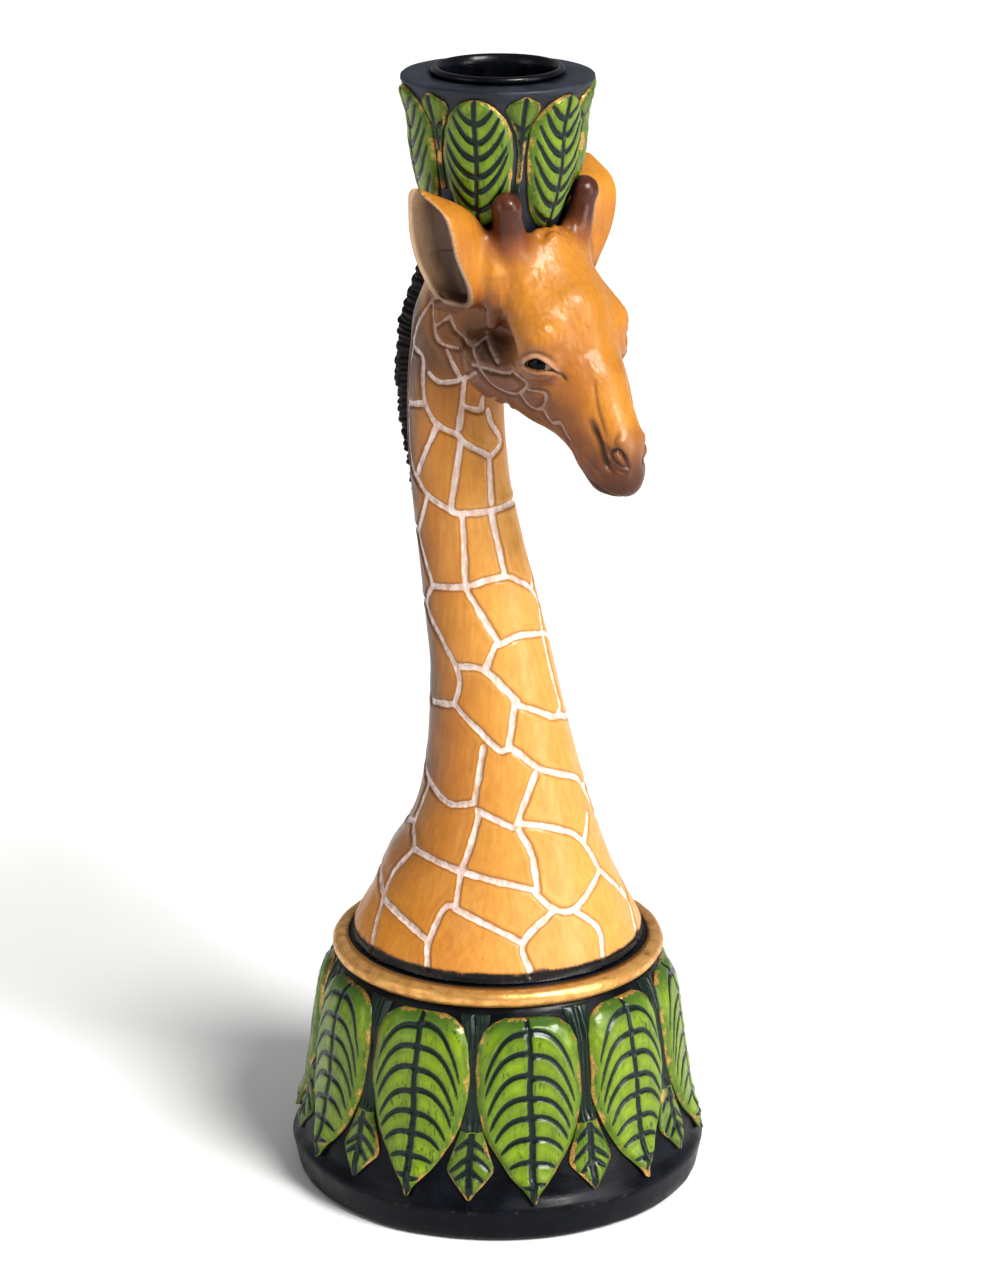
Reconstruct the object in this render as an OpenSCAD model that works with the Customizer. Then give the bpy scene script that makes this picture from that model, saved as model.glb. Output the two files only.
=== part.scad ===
// Giraffe head candlestick: a turned black bell foot wrapped in carved leaves,
// a gold half-round ring, a carved neck with grooved patches, a dark mane, a
// head with ears and two horns, and a leafy candle cup on the crown.
// Frame: +Z up, origin at the centre of the foot print, the animal looks along
// -Y and its right side is -X. All sizes in millimetres.

/* [Candle cup] */
// inside diameter of the candle socket
candle_d = 24; // [20:0.5:28]
// height of the cup rim annulus above the table
cup_top = 248.3; // [246:0.1:252]
// depth of the candle socket below the rolled lip
socket_depth = 22; // [15:1:26]
// height of the flat seat cut in the crown for the cup
cup_seat_z = 213; // [210:0.5:215]
// number of large leaves around the cup
cup_leaves = 6; // [5:1:8]

/* [Foot] */
// radius of the widest edge of the foot
foot_r = 46.3; // [44:0.1:50]
// height of the shoulder the gold ring rests on
ring_seat_z = 51; // [48:0.5:53]
// number of large leaves around the foot
foot_leaves = 10; // [8:1:12]
// thickness of the carved leaf relief
leaf_t = 1.3; // [0.8:0.1:2]
// amount the felt pad stands proud of the wood
felt_proud = 0.3; // [0.2:0.1:0.6]

/* [Neck and head] */
// radius of the tenon that plugs the neck into the foot
tenon_r = 10; // [7:0.5:14]
// length of the neck tenon
tenon_len = 22; // [15:1:24]
// radius of the dowel between neck and head
dowel_r = 3; // [2:0.5:4]
// radius of the horn knobs
knob_r = 3.0; // [2.6:0.1:3.6]
// radius of the inset eye beads
eye_r = 2.8; // [2.2:0.1:3.4]
// radial clearance round pegs, tenons and dowels
fit_gap = 0.15; // [0.1:0.05:0.4]

/* [Hidden] */

lime = [0.52, 0.66, 0.14];
lime2 = [0.40, 0.54, 0.12];
black = [0.06, 0.06, 0.08];
gold = [0.72, 0.56, 0.24];
tan = [0.80, 0.50, 0.20];
dark = [0.16, 0.09, 0.07];
brown = [0.34, 0.17, 0.09];

neck_z = 55.1;          // where the neck sits on the foot
top_z = ring_seat_z;

// ---- foot outline: radius against height -------------------------------
bell = [[8.4, 45.9], [9.4, 45.0], [11, 44.4], [13, 44.0], [17, 42.5],
        [20.6, 41.8], [24, 41.3], [28, 40.6], [32, 40.2], [35, 39.8],
        [39, 39.2], [43, 38.6], [46, 37.6], [49.6, 35.9], [top_z, 35.3]];
function bell_r(z) = lookup(z, bell);

// ---- cup outline: radius against height --------------------------------
cupw = [[213, 11.6], [216, 12.5], [220, 13.9], [225.5, 15.5], [228, 16.1],
        [232, 16.9], [236, 17.3], [238.3, 17.4], [240.4, 17.7],
        [242.6, 18.3], [244.7, 19.0], [246.4, 19.8], [247.4, 20.5],
        [248.3, 20.4]];
function cup_r(z) = lookup(z, cupw);

// ---- leaves laid on a turned body ---------------------------------------
// half width of a leaf against t = 0 (pointed end) .. 1 (round end)
foot_leaf_w = [[0, 0.3], [0.07, 2.0], [0.14, 4.7], [0.23, 7.2], [0.32, 9.2],
               [0.4, 10.5], [0.55, 11.6], [0.72, 11.5], [0.86, 10.9], [0.94, 9.4],
               [0.98, 7.4], [1, 4.6]];
foot_tip_w = [[0, 0.3], [0.14, 2.7], [0.28, 5.3], [0.42, 4.7], [0.55, 3.4],
              [0.7, 2.2], [1, 0.5]];
cup_leaf_w = [[0, 0.4], [0.06, 3.0], [0.15, 4.9], [0.3, 6.5], [0.45, 7.4],
              [0.6, 7.9], [0.75, 7.6], [0.86, 6.3], [0.94, 4.5], [0.98, 2.9], [1, 1.2]];
cup_tip_w = [[0, 0.3], [0.4, 1.1], [0.55, 1.9], [0.7, 3.1], [0.82, 3.8],
             [0.92, 2.5], [1, 0.4]];

// body: 1 foot, 2 cup
function body_r(b, z) = b == 1 ? bell_r(z) : cup_r(z);
function leaf_pt(b, z, w, u, off) =
    let (r = body_r(b, z) + off, a = w * u / r * 57.2958)
    [r * sin(a), -r * cos(a), z];
module leaf(b, z0, z1, wt, t, nu = 6, nv = 14) {
    gap = 0.12;
    front = [for (j = [0:nv]) for (i = [0:nu])
        let (q = j / nv, u = 2 * i / nu - 1, z = z0 + (z1 - z0) * q,
             w = lookup(q, wt), rise = t * (0.45 + 0.55 * (1 - pow(abs(u), 2.2)))
                 * min(1, 0.45 + 3 * min(q, 1 - q)))
        leaf_pt(b, z, w, u, gap + rise)];
    back = [for (j = [0:nv]) for (i = [0:nu])
        let (q = j / nv, u = 2 * i / nu - 1, z = z0 + (z1 - z0) * q,
             w = lookup(q, wt))
        leaf_pt(b, z, w, u, gap)];
    n = (nu + 1) * (nv + 1);
    function id(i, j) = j * (nu + 1) + i;
    faces = concat(
        [for (j = [0:nv - 1]) for (i = [0:nu - 1]) [id(i, j), id(i, j + 1), id(i + 1, j)]],
        [for (j = [0:nv - 1]) for (i = [0:nu - 1]) [id(i + 1, j), id(i, j + 1), id(i + 1, j + 1)]],
        [for (j = [0:nv - 1]) for (i = [0:nu - 1]) [n + id(i, j), n + id(i + 1, j), n + id(i, j + 1)]],
        [for (j = [0:nv - 1]) for (i = [0:nu - 1]) [n + id(i + 1, j), n + id(i + 1, j + 1), n + id(i, j + 1)]],
        [for (j = [0:nv - 1]) [id(0, j), n + id(0, j), id(0, j + 1)]],
        [for (j = [0:nv - 1]) [id(0, j + 1), n + id(0, j), n + id(0, j + 1)]],
        [for (j = [0:nv - 1]) [id(nu, j), id(nu, j + 1), n + id(nu, j)]],
        [for (j = [0:nv - 1]) [id(nu, j + 1), n + id(nu, j + 1), n + id(nu, j)]],
        [for (i = [0:nu - 1]) [id(i, 0), id(i + 1, 0), n + id(i, 0)]],
        [for (i = [0:nu - 1]) [id(i + 1, 0), n + id(i + 1, 0), n + id(i, 0)]],
        [for (i = [0:nu - 1]) [id(i, nv), n + id(i, nv), id(i + 1, nv)]],
        [for (i = [0:nu - 1]) [id(i + 1, nv), n + id(i, nv), n + id(i + 1, nv)]]);
    polyhedron(points = concat(front, back), faces = faces, convexity = 6);
}

// ---- neck: rings of front / back / side half widths ---------------------
// [height, forward offset of the axis, front, back, side]
rings = [[55.1, 0, 33, 33, 33], [59, 0, 31.6, 31.6, 31.2],
         [64, 0.3, 29.6, 29.4, 28], [69, 0.6, 27.6, 28.2, 25],
         [74, 1, 25.4, 26.6, 22.6], [79, 1.6, 23, 23.6, 20.4],
         [85, 1.9, 20.6, 20.6, 18.4], [92, 1.8, 18.6, 18.8, 16.6],
         [100, 1, 17, 17.2, 15], [110, -0.4, 15.4, 15.6, 13.5],
         [120, -2.2, 14.2, 14.4, 12.5], [131, -5, 13.4, 13.6, 11.6],
         [142, -7.7, 12.6, 12.8, 10.8], [155, -10.8, 11.8, 12, 10],
         [165, -12.2, 11.4, 11.6, 9.6], [175, -12.7, 11.2, 11.4, 9.4],
         [185, -12.1, 11.6, 11.2, 9.5], [194, -10, 12.6, 11, 9.8],
         [203, -6.4, 13, 10.6, 10.2], [213, -1.5, 12, 10, 9.6]];
ring_n = 32;
function ring_pt(k, i, g = 0) =
    let (q = rings[k], a = 360 * i / ring_n, c = cos(a), s = sin(a),
         fa = (c > 0 ? q[2] : q[3]) + g)
    [(q[4] + g) * s, -(q[1] + fa * c), q[0]];
module neck_loft(g = 0) {
    m = len(rings);
    polyhedron(points = [for (k = [0:m - 1]) for (i = [0:ring_n - 1]) ring_pt(k, i, g)],
        faces = concat([[for (i = [0:ring_n - 1]) i]],
            [for (k = [0:m - 2]) for (i = [0:ring_n - 1])
                [k * ring_n + i, (k + 1) * ring_n + i, k * ring_n + (i + 1) % ring_n]],
            [for (k = [0:m - 2]) for (i = [0:ring_n - 1])
                [(k + 1) * ring_n + i, (k + 1) * ring_n + (i + 1) % ring_n,
                 k * ring_n + (i + 1) % ring_n]],
            [[for (i = [ring_n - 1:-1:0]) (m - 1) * ring_n + i]]),
        convexity = 8);
}

// the glued joint between neck and head is a tilted plane through this point
joint_s = -7;
joint_z = 189.5;
joint_tilt = 48;        // the plane normal leans this far forward from +Z
module at_joint() translate([0, -joint_s, joint_z]) rotate([joint_tilt, 0, 0]) children();
module head_side(g = 0) at_joint() translate([-60, -60, g]) cube([120, 120, 120]);

// ---- head -----------------------------------------------------------------
// ball given as forward, right, height, radius
module ball(f, r, z, q, n = 24) translate([-r, -f, z]) sphere(r = q, $fn = n);
module pair(f, r, z, q, n = 24) { ball(f, r, z, q, n); ball(f, -r, z, q, n); }
ear_plane = 10.6;       // flat seat of each ear
ear_front = 13.6;
ear_low = 201;

module head_mass() {
    // skull and back of the head
    hull() {
        ball(0, 0, 203, 12, 28); ball(11, 0, 205.5, 11.4, 28); ball(-3, 0, 204.4, 10.6, 28);
        ball(-6.6, 0, 201.4, 10.3, 28); ball(-9.8, 0, 194, 10.3, 28);
    }
    // forehead and brows
    hull() { ball(11, 0, 205.5, 11.4, 28); pair(21.6, 9.2, 196.6, 5.9); ball(19, 0, 200, 9.6, 28); }
    // bridge of the nose
    hull() { ball(19, 0, 199.5, 8.6); pair(20.8, 5.4, 194, 6.4); pair(34.7, 2.4, 174.4, 3.3); ball(35, 0, 175.6, 5.2); }
    // cheeks and throat
    hull() { pair(4.5, 4.4, 188.6, 7.4); pair(19, 5.2, 188.2, 6.8); pair(4, 2.6, 185.6, 6.8); pair(17.4, 2.9, 182.8, 6); }
    // jaw
    hull() { pair(19, 5, 187.8, 6.4); pair(28.4, 2.9, 179.2, 4.9); pair(17.4, 2.9, 182.8, 6); pair(28, 2.4, 177.4, 4.9); }
    // muzzle and lips
    hull() { pair(28, 2.4, 177.4, 4.9); pair(34.8, 2.2, 173.4, 3.9); ball(36.3, 0, 173.6, 4.2); pair(31, 2, 172, 4.4); }
    hull() { pair(31, 2, 172, 4.4); pair(34.8, 2.2, 173.4, 3.9); ball(36.3, 0, 173.6, 4.2); pair(34.6, 2, 168.8, 4.3); ball(36.5, 0, 167.6, 4.2); }
    // crown boss under the horns
    hull() { ball(11, 0, 205.5, 11.4, 28); pair(12.9, 8.6, 211, 4.6); ball(14.4, 0, 212.6, 5.2); }
}

// ---- ears: stacked crescents ------------------------------------------------
// [height, rear edge fwd, rear edge side, front edge fwd, front edge side,
//  depth line side, wall]
ear_rows = [[201.3, 1, 16.4, 7, 16.8, 8, 2.4], [203, -1.4, 17.6, 9.6, 18, 7.4, 2.2],
            [206, -3.8, 18.4, 11.2, 19.2, 7, 2.0], [210, -5.1, 19.6, 11.6, 21.4, 7, 1.8],
            [214, -5.3, 20.8, 11.6, 23.6, 8.2, 1.6], [218, -4.8, 22.1, 11.5, 24.8, 10.6, 1.5],
            [221.5, -3.8, 23.3, 10.8, 25.4, 14, 1.4], [224.5, -2.5, 24.6, 8.4, 25.8, 18.2, 1.3],
            [226.6, -1.2, 25.5, 4.6, 26, 22.6, 1.5], [227.8, 0.2, 26, 2.6, 26.1, 25, 0.7]];
ear_m = 12;
// arc point: t 0 rear edge .. 1 front edge, inset w from the outer skin
function ear_pt(q, t, w) =
    let (a = 180 * t, c = cos(a), s = sin(a), p = 0.78,
         cs = (q[1] + q[3]) / 2, hw = (q[3] - q[1]) / 2 - w,
         rim = q[2] + (q[4] - q[2]) * t,
         dep = rim - (w > 0 ? max(q[5] + w, ear_plane + 1.8) : q[5]),
         f = cs - hw * sign(c) * pow(abs(c), p),
         r = rim - max(dep, 0.2) * pow(abs(s), p))
    [-r, -f, q[0]];
module ear_loft() {
    m = len(ear_rows);
    k = 2 * (ear_m + 1);
    pts = [for (j = [0:m - 1])
        for (i = [0:2 * ear_m + 1])
            i <= ear_m ? ear_pt(ear_rows[j], i / ear_m, 0)
                       : ear_pt(ear_rows[j], (2 * ear_m + 1 - i) / ear_m, ear_rows[j][6])];
    // cap each end with quads between outer and inner arcs
    polyhedron(points = pts, faces = concat(
        [for (i = [0:ear_m - 1]) [2 * ear_m + 1 - i, 2 * ear_m - i, i + 1, i]],
        [for (j = [0:m - 2]) for (i = [0:k - 1]) [j * k + i, j * k + (i + 1) % k, (j + 1) * k + i]],
        [for (j = [0:m - 2]) for (i = [0:k - 1]) [(j + 1) * k + i, j * k + (i + 1) % k, (j + 1) * k + (i + 1) % k]],
        [for (i = [0:ear_m - 1]) [(m - 1) * k + 2 * ear_m - i, (m - 1) * k + 2 * ear_m + 1 - i, (m - 1) * k + i, (m - 1) * k + i + 1]]),
        convexity = 8);
}
ear_peg = [4, 207.5];   // forward, height of the ear peg
module ear() color(tan) {
    intersection() {
        ear_loft();
        translate([-40, -ear_front + 0.05, ear_low + 0.05]) cube([40 - ear_plane - 0.05, 40, 40]);
    }
    // peg let into the side of the skull
    translate([-ear_plane + 3.5, -ear_peg[0], ear_peg[1]]) rotate([0, -90, 0]) cylinder(r = 1.5, h = 4.4, $fn = 32);
}

// ---- horns ------------------------------------------------------------------
horn_f = 12.9;
horn_s = 9.2;
horn_z = 213.6;
horn_dir = [-2.5, -0.9, 10.0];   // base centre to knob centre
horn_len = norm(horn_dir);
module at_horn() translate([-horn_s, -horn_f, horn_z])
    rotate([0, asin(horn_dir[0] / horn_len), 0]) rotate([atan2(-horn_dir[1], horn_dir[2]), 0, 0]) children();
module horn() color(brown) difference() {
    at_horn() {
        difference() {
            union() {
                translate([0, 0, -1.2]) cylinder(r1 = 3.9, r2 = 2.7, h = horn_len + 1.2, $fn = 48);
                translate([0, 0, horn_len]) sphere(r = knob_r, $fn = 48);
            }
            translate([-8, -8, -4]) cube([16, 16, 4]);
        }
        translate([0, 0, -4]) cylinder(r = 1.4, h = 4.4, $fn = 32);
    }
    // the inner side is dressed back to clear the cup and its leaves
    translate([0, 0, cup_seat_z]) cylinder(r1 = 12.9, r2 = 16.8, h = 12.5, $fn = 64);
    translate([0, 0, cup_seat_z + 12.5]) cylinder(r1 = 16.8, r2 = 17.6, h = 3, $fn = 64);
}

// ---- eyes ---------------------------------------------------------------------
eye_f = 22.4;
eye_s = 10.4;
eye_z = 191.9;
module eye() color(black) translate([-eye_s, -eye_f, eye_z]) sphere(r = eye_r, $fn = 48);

// ==== sub-parts ==================================================================
module base_body() color(black) difference() {
    rotate_extrude($fn = 160) polygon(concat(
        [[0, felt_proud], [44.3, felt_proud], [44.9, 0.9], [foot_r, 7.0], [foot_r - 0.2, 7.8]],
        [for (q = bell) [q[1], q[0]]], [[33.1, top_z], [33.1, neck_z], [0, neck_z]]));
    // socket for the neck tenon
    translate([0, 0, neck_z - tenon_len - 1]) cylinder(r = tenon_r + fit_gap, h = tenon_len + 2, $fn = 96);
    // recess for the felt pad, screw hole and its counterbore
    translate([0, 0, -1]) cylinder(r = 40.3, h = 2.5, $fn = 120);
    translate([0, 0, 0]) cylinder(r = 6.5, h = 9, $fn = 64);
    translate([0, 0, 5]) cylinder(r = 2.6, h = 40, $fn = 48);
}

module base_leaves_large() color(lime)
    for (k = [0:foot_leaves - 1]) rotate([0, 0, 360 / foot_leaves * k])
        leaf(1, 9.6, 49.4, foot_leaf_w, leaf_t);

module base_leaves_small() color(lime2)
    for (k = [0:foot_leaves - 1]) rotate([0, 0, 360 / foot_leaves * (k + 0.5)])
        leaf(1, 10.2, 30, foot_tip_w, leaf_t * 0.7, 4, 10);

module gold_ring() color(gold)
    rotate_extrude($fn = 160) intersection() {
        translate([34.8, top_z + 2.05]) circle(r = 2.05, $fn = 40);
        translate([33.3, top_z + 0.02]) square([5, 4.06]);
    }

module base_felt() color([0.05, 0.20, 0.12]) difference() {
    cylinder(r = 40, h = 1.5, $fn = 120);
    translate([0, 0, -1]) cylinder(r = 7, h = 4, $fn = 64);
}

module base_screw() color([0.6, 0.6, 0.62]) {
    translate([0, 0, 5.6]) cylinder(r1 = 4.6, r2 = 4.6, h = 3.38, $fn = 48);
    translate([0, 0, 8.5]) cylinder(r = 2.2, h = 41, $fn = 40);
}

module neck() color(tan) difference() {
    union() {
        neck_loft();
        translate([0, 0, neck_z - tenon_len]) cylinder(r = tenon_r, h = tenon_len + 4, $fn = 96);
    }
    head_side(0);
    at_joint() translate([0, 0, -12.5]) cylinder(r = dowel_r + fit_gap, h = 20, $fn = 48);
    // pilot hole for the screw
    translate([0, 0, neck_z - tenon_len - 1]) cylinder(r = 2.35, h = 18, $fn = 40);
}

// mane: a thin blade along the back of the neck with a saw-tooth edge
// [height, forward position of the neck skin, how far the blade stands out]
mane_rows = [[147, 0.5], [150, 1.7], [156, 3.2], [162, 4.1], [168, 4.8], [174, 5.6], [180, 6.1],
             [186, 6.4], [192, 6.3], [198, 5.9], [203, 5.4], [208, 4.4], [212.4, 3.0]];
function neck_back(z) =
    let (s = lookup(z, [for (q = rings) [q[0], q[1]]]),
         b = lookup(z, [for (q = rings) [q[0], q[3]]])) s - b;
mane_k = 2;             // teeth per row step
module mane() color(dark) difference() {
    rotate([90, 0, -90]) translate([0, 0, -2.1]) linear_extrude(height = 4.2)
        polygon(concat(
            [for (j = [0:(len(mane_rows) - 1) * mane_k * 2])
                let (q = j / (mane_k * 2), i = min(floor(q), len(mane_rows) - 2), f = q - i,
                     z = mane_rows[i][0] * (1 - f) + mane_rows[i + 1][0] * f,
                     h = mane_rows[i][1] * (1 - f) + mane_rows[i + 1][1] * f)
                [neck_back(z) - h - (j % 2 == 0 ? 0 : 0.8), z + (j % 2 == 0 ? 0 : -0.6)]],
            [for (j = [len(mane_rows) - 1:-1:0]) [neck_back(mane_rows[j][0]) + 4, mane_rows[j][0]]]));
    neck_loft(0.12);
    hull() { ball(0, 0, 203, 12.12, 28); ball(-3, 0, 204.4, 10.72, 28); ball(-6.6, 0, 201.4, 10.42, 28); ball(-9.8, 0, 194, 10.42, 28); }
    translate([0, 0, cup_seat_z - 0.1]) cylinder(r1 = 13.4, r2 = 15, h = 5, $fn = 48);
}

module head() color(tan) difference() {
    intersection() { head_mass(); head_side(0.05); }
    // flat seat and clearance for the candle cup
    translate([0, 0, cup_seat_z]) cylinder(r1 = 13.1, r2 = 17.2, h = 12, $fn = 64);
    translate([0, 0, cup_seat_z - 9]) cylinder(r = 4 + fit_gap, h = 12, $fn = 48);
    at_joint() translate([0, 0, -4]) cylinder(r = dowel_r + fit_gap, h = 16.5, $fn = 48);
    for (m = [0, 1]) mirror([m, 0, 0]) {
        // rebate for the ear with its peg hole
        translate([-40, -ear_front, ear_low]) cube([40 - ear_plane, 60, 40]);
        translate([-ear_plane + 4, -ear_peg[0], ear_peg[1]]) rotate([0, -90, 0]) cylinder(r = 1.5 + fit_gap, h = 8, $fn = 32);
        // horn seat with its peg hole
        at_horn() translate([0, 0, -0.05]) cylinder(r = 4.1, h = 14, $fn = 48);
        at_horn() translate([0, 0, -4.5]) cylinder(r = 1.4 + fit_gap, h = 6, $fn = 32);
        // eye socket, open outward so the bead can be set from outside
        hull() {
            translate([-eye_s, -eye_f, eye_z]) sphere(r = eye_r + 0.12, $fn = 48);
            translate([-eye_s - 4.5, -eye_f - 2, eye_z]) sphere(r = eye_r + 0.12, $fn = 32);
        }
    }
}

module head_dowel() color([0.78, 0.62, 0.42])
    at_joint() translate([0, 0, -12]) cylinder(r = dowel_r, h = 24, $fn = 48);

module ear_right() ear();
module ear_left() mirror([1, 0, 0]) ear();
module horn_right() horn();
module horn_left() mirror([1, 0, 0]) horn();
module eye_right() eye();
module eye_left() mirror([1, 0, 0]) eye();

module cup_dowel() color([0.78, 0.62, 0.42])
    translate([0, 0, cup_seat_z - 8.5]) cylinder(r = 4, h = 17, $fn = 48);

bore_floor = cup_top + 1.7 - socket_depth;
module candle_cup() color(black) difference() {
    rotate_extrude($fn = 140) polygon(concat([[0, cup_seat_z + 0.02]],
        [[cup_r(cup_seat_z), cup_seat_z + 0.02]],
        [for (q = cupw) if (q[0] > cup_seat_z + 0.5) [q[1], q[0]]], [[0, cup_top]]));
    translate([0, 0, bore_floor - 0.9]) cylinder(r = candle_d / 2 + 0.95, h = 40, $fn = 96);
    translate([0, 0, cup_seat_z - 1]) cylinder(r = 4 + fit_gap, h = 10, $fn = 48);
}

module cup_leaves_large() color(lime)
    for (k = [0:cup_leaves - 1]) rotate([0, 0, 360 / cup_leaves * k])
        leaf(2, 217.5, 246.7, cup_leaf_w, leaf_t, 6, 14);

module cup_leaves_small() color(lime2)
    for (k = [0:cup_leaves - 1]) rotate([0, 0, 360 / cup_leaves * (k + 0.5)])
        leaf(2, 234, 246.9, cup_tip_w, leaf_t * 0.7, 4, 8);

module socket_liner() color(black)
    rotate_extrude($fn = 140) difference() {
        union() {
            translate([0, bore_floor - 0.8]) square([candle_d / 2 + 0.8, cup_top + 0.85 - bore_floor + 0.8]);
            translate([0, cup_top + 0.02]) square([candle_d / 2 + 1.5, 0.85]);
            translate([candle_d / 2 + 1.3, cup_top + 0.87]) circle(r = 0.83, $fn = 24);
        }
        translate([-1, bore_floor]) square([candle_d / 2 + 1, 40]);
    }

base_body();
base_leaves_large();
base_leaves_small();
gold_ring();
base_felt();
base_screw();
neck();
mane();
head();
head_dowel();
ear_right();
ear_left();
horn_right();
horn_left();
eye_right();
eye_left();
cup_dowel();
candle_cup();
cup_leaves_large();
cup_leaves_small();
socket_liner();
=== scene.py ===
import bpy, math
import numpy as np
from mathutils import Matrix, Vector


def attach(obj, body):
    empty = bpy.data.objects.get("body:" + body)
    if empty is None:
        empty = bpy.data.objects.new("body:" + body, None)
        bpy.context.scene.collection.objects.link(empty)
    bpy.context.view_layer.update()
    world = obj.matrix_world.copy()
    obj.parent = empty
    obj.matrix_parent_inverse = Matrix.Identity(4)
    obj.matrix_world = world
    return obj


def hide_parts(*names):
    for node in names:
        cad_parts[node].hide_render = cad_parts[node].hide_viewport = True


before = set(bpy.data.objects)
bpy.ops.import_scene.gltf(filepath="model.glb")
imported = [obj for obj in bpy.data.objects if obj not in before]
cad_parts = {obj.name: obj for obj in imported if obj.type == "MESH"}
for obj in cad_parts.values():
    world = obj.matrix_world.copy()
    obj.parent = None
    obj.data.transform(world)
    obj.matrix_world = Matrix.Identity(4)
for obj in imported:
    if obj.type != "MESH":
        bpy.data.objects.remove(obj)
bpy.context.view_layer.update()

MM = 0.001
F32 = np.float32
rng = np.random.default_rng(7)

# ---------------------------------------------------------------- helpers
# giraffe coordinates in mm: s forward, r to its right, z up;  x = -r, y = -s
def spline(xs, ys, x):
    """natural cubic spline through (xs, ys), held constant outside"""
    xs = np.asarray(xs, float); ys = np.asarray(ys, float); n = len(xs)
    h = np.diff(xs); A = np.eye(n); B = np.zeros(n)
    for i in range(1, n - 1):
        A[i, i - 1] = h[i - 1]; A[i, i] = 2 * (h[i - 1] + h[i]); A[i, i + 1] = h[i]
        B[i] = 6 * ((ys[i + 1] - ys[i]) / h[i] - (ys[i] - ys[i - 1]) / h[i - 1])
    M = np.linalg.solve(A, B)
    x = np.clip(x, xs[0], xs[-1]); k = np.clip(np.searchsorted(xs, x) - 1, 0, n - 2)
    a = xs[k + 1] - x; b = x - xs[k]; hk = h[k]
    return ((M[k] * a**3 + M[k + 1] * b**3) / (6 * hk) + (ys[k] / hk - M[k] * hk / 6) * a
            + (ys[k + 1] / hk - M[k + 1] * hk / 6) * b)

def smin(a, b, k):
    h = np.clip(0.5 + 0.5 * (b - a) / k, 0, 1)
    return b + (a - b) * h - k * h * (1 - h)
def smax(a, b, k): return -smin(-a, -b, k)
def sstep(e0, e1, x):
    t = np.clip((x - e0) / (e1 - e0), 0, 1); return t * t * (3 - 2 * t)

def rc(P, a, b, ra, rb):
    """round cone between balls a and b"""
    a = np.array(a, float); b = np.array(b, float); ba = b - a; l2 = float(ba @ ba)
    t = np.clip(((P[0] - a[0]) * ba[0] + (P[1] - a[1]) * ba[1] + (P[2] - a[2]) * ba[2]) / l2, 0, 1)
    d = np.sqrt((P[0] - a[0] - t * ba[0])**2 + (P[1] - a[1] - t * ba[1])**2 + (P[2] - a[2] - t * ba[2])**2)
    return d - (ra + (rb - ra) * t)
def sph(P, c, r):
    return np.sqrt((P[0] - c[0])**2 + (P[1] - c[1])**2 + (P[2] - c[2])**2) - r
def ell(P, c, R):
    k0 = np.sqrt(((P[0] - c[0]) / R[0])**2 + ((P[1] - c[1]) / R[1])**2 + ((P[2] - c[2]) / R[2])**2)
    k1 = np.sqrt(((P[0] - c[0]) / R[0]**2)**2 + ((P[1] - c[1]) / R[1]**2)**2 + ((P[2] - c[2]) / R[2]**2)**2)
    return k0 * (k0 - 1) / np.maximum(k1, 1e-6)

def vnoise(P, scale, seed=0):
    """smooth value noise in -1..1 at points P (N,3), feature size scale"""
    q = P / scale; i = np.floor(q).astype(np.int64); f = q - i; f = f * f * (3 - 2 * f)
    def h(a, b, c):
        n = (a * 374761393 + b * 668265263 + c * 2147483647 + seed * 1274126177) & 0xFFFFFFFF
        n = ((n ^ (n >> 13)) * 1274126177) & 0xFFFFFFFF
        return ((n ^ (n >> 16)) & 0xFFFF) / 32767.5 - 1
    out = 0
    for dx in (0, 1):
        for dy in (0, 1):
            for dz in (0, 1):
                w = (f[:, 0] if dx else 1 - f[:, 0]) * (f[:, 1] if dy else 1 - f[:, 1]) * (f[:, 2] if dz else 1 - f[:, 2])
                out = out + w * h(i[:, 0] + dx, i[:, 1] + dy, i[:, 2] + dz)
    return out

# ---------------------------------------------------------------- outlines
BELL = [(8.4, 45.9), (9.4, 45.0), (11, 44.4), (13, 44.0), (17, 42.5), (20.6, 41.8), (24, 41.3), (28, 40.6),
        (32, 40.2), (35, 39.8), (39, 39.2), (43, 38.6), (46, 37.6), (49.6, 35.9), (51, 35.3)]
CUP = [(213, 11.6), (216, 12.5), (220, 13.9), (225.5, 15.5), (228, 16.1), (232, 16.9), (236, 17.3), (238.3, 17.4),
       (240.4, 17.7), (242.6, 18.3), (244.7, 19.0), (246.4, 19.8), (247.4, 20.5), (248.3, 20.4)]
RINGS = [(55.1, 0, 33, 33, 33), (59, 0, 31.6, 31.6, 31.2), (64, .3, 29.6, 29.4, 28), (69, .6, 27.6, 28.2, 25),
         (74, 1, 25.4, 26.6, 22.6), (79, 1.6, 23, 23.6, 20.4), (85, 1.9, 20.6, 20.6, 18.4), (92, 1.8, 18.6, 18.8, 16.6),
         (100, 1, 17, 17.2, 15), (110, -.4, 15.4, 15.6, 13.5), (120, -2.2, 14.2, 14.4, 12.5), (131, -5, 13.4, 13.6, 11.6),
         (142, -7.7, 12.6, 12.8, 10.8), (155, -10.8, 11.8, 12, 10), (165, -12.2, 11.4, 11.6, 9.6),
         (175, -12.7, 11.2, 11.4, 9.4), (185, -12.1, 11.6, 11.2, 9.5), (194, -10, 12.6, 11, 9.8),
         (203, -6.4, 13, 10.6, 10.2), (213, -1.5, 12, 10, 9.6)]
RZ = [q[0] for q in RINGS]
def cup_r(z): return np.interp(z, [q[0] for q in CUP], [q[1] for q in CUP])
def bell_r(z): return np.interp(z, [q[0] for q in BELL], [q[1] for q in BELL])

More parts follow.
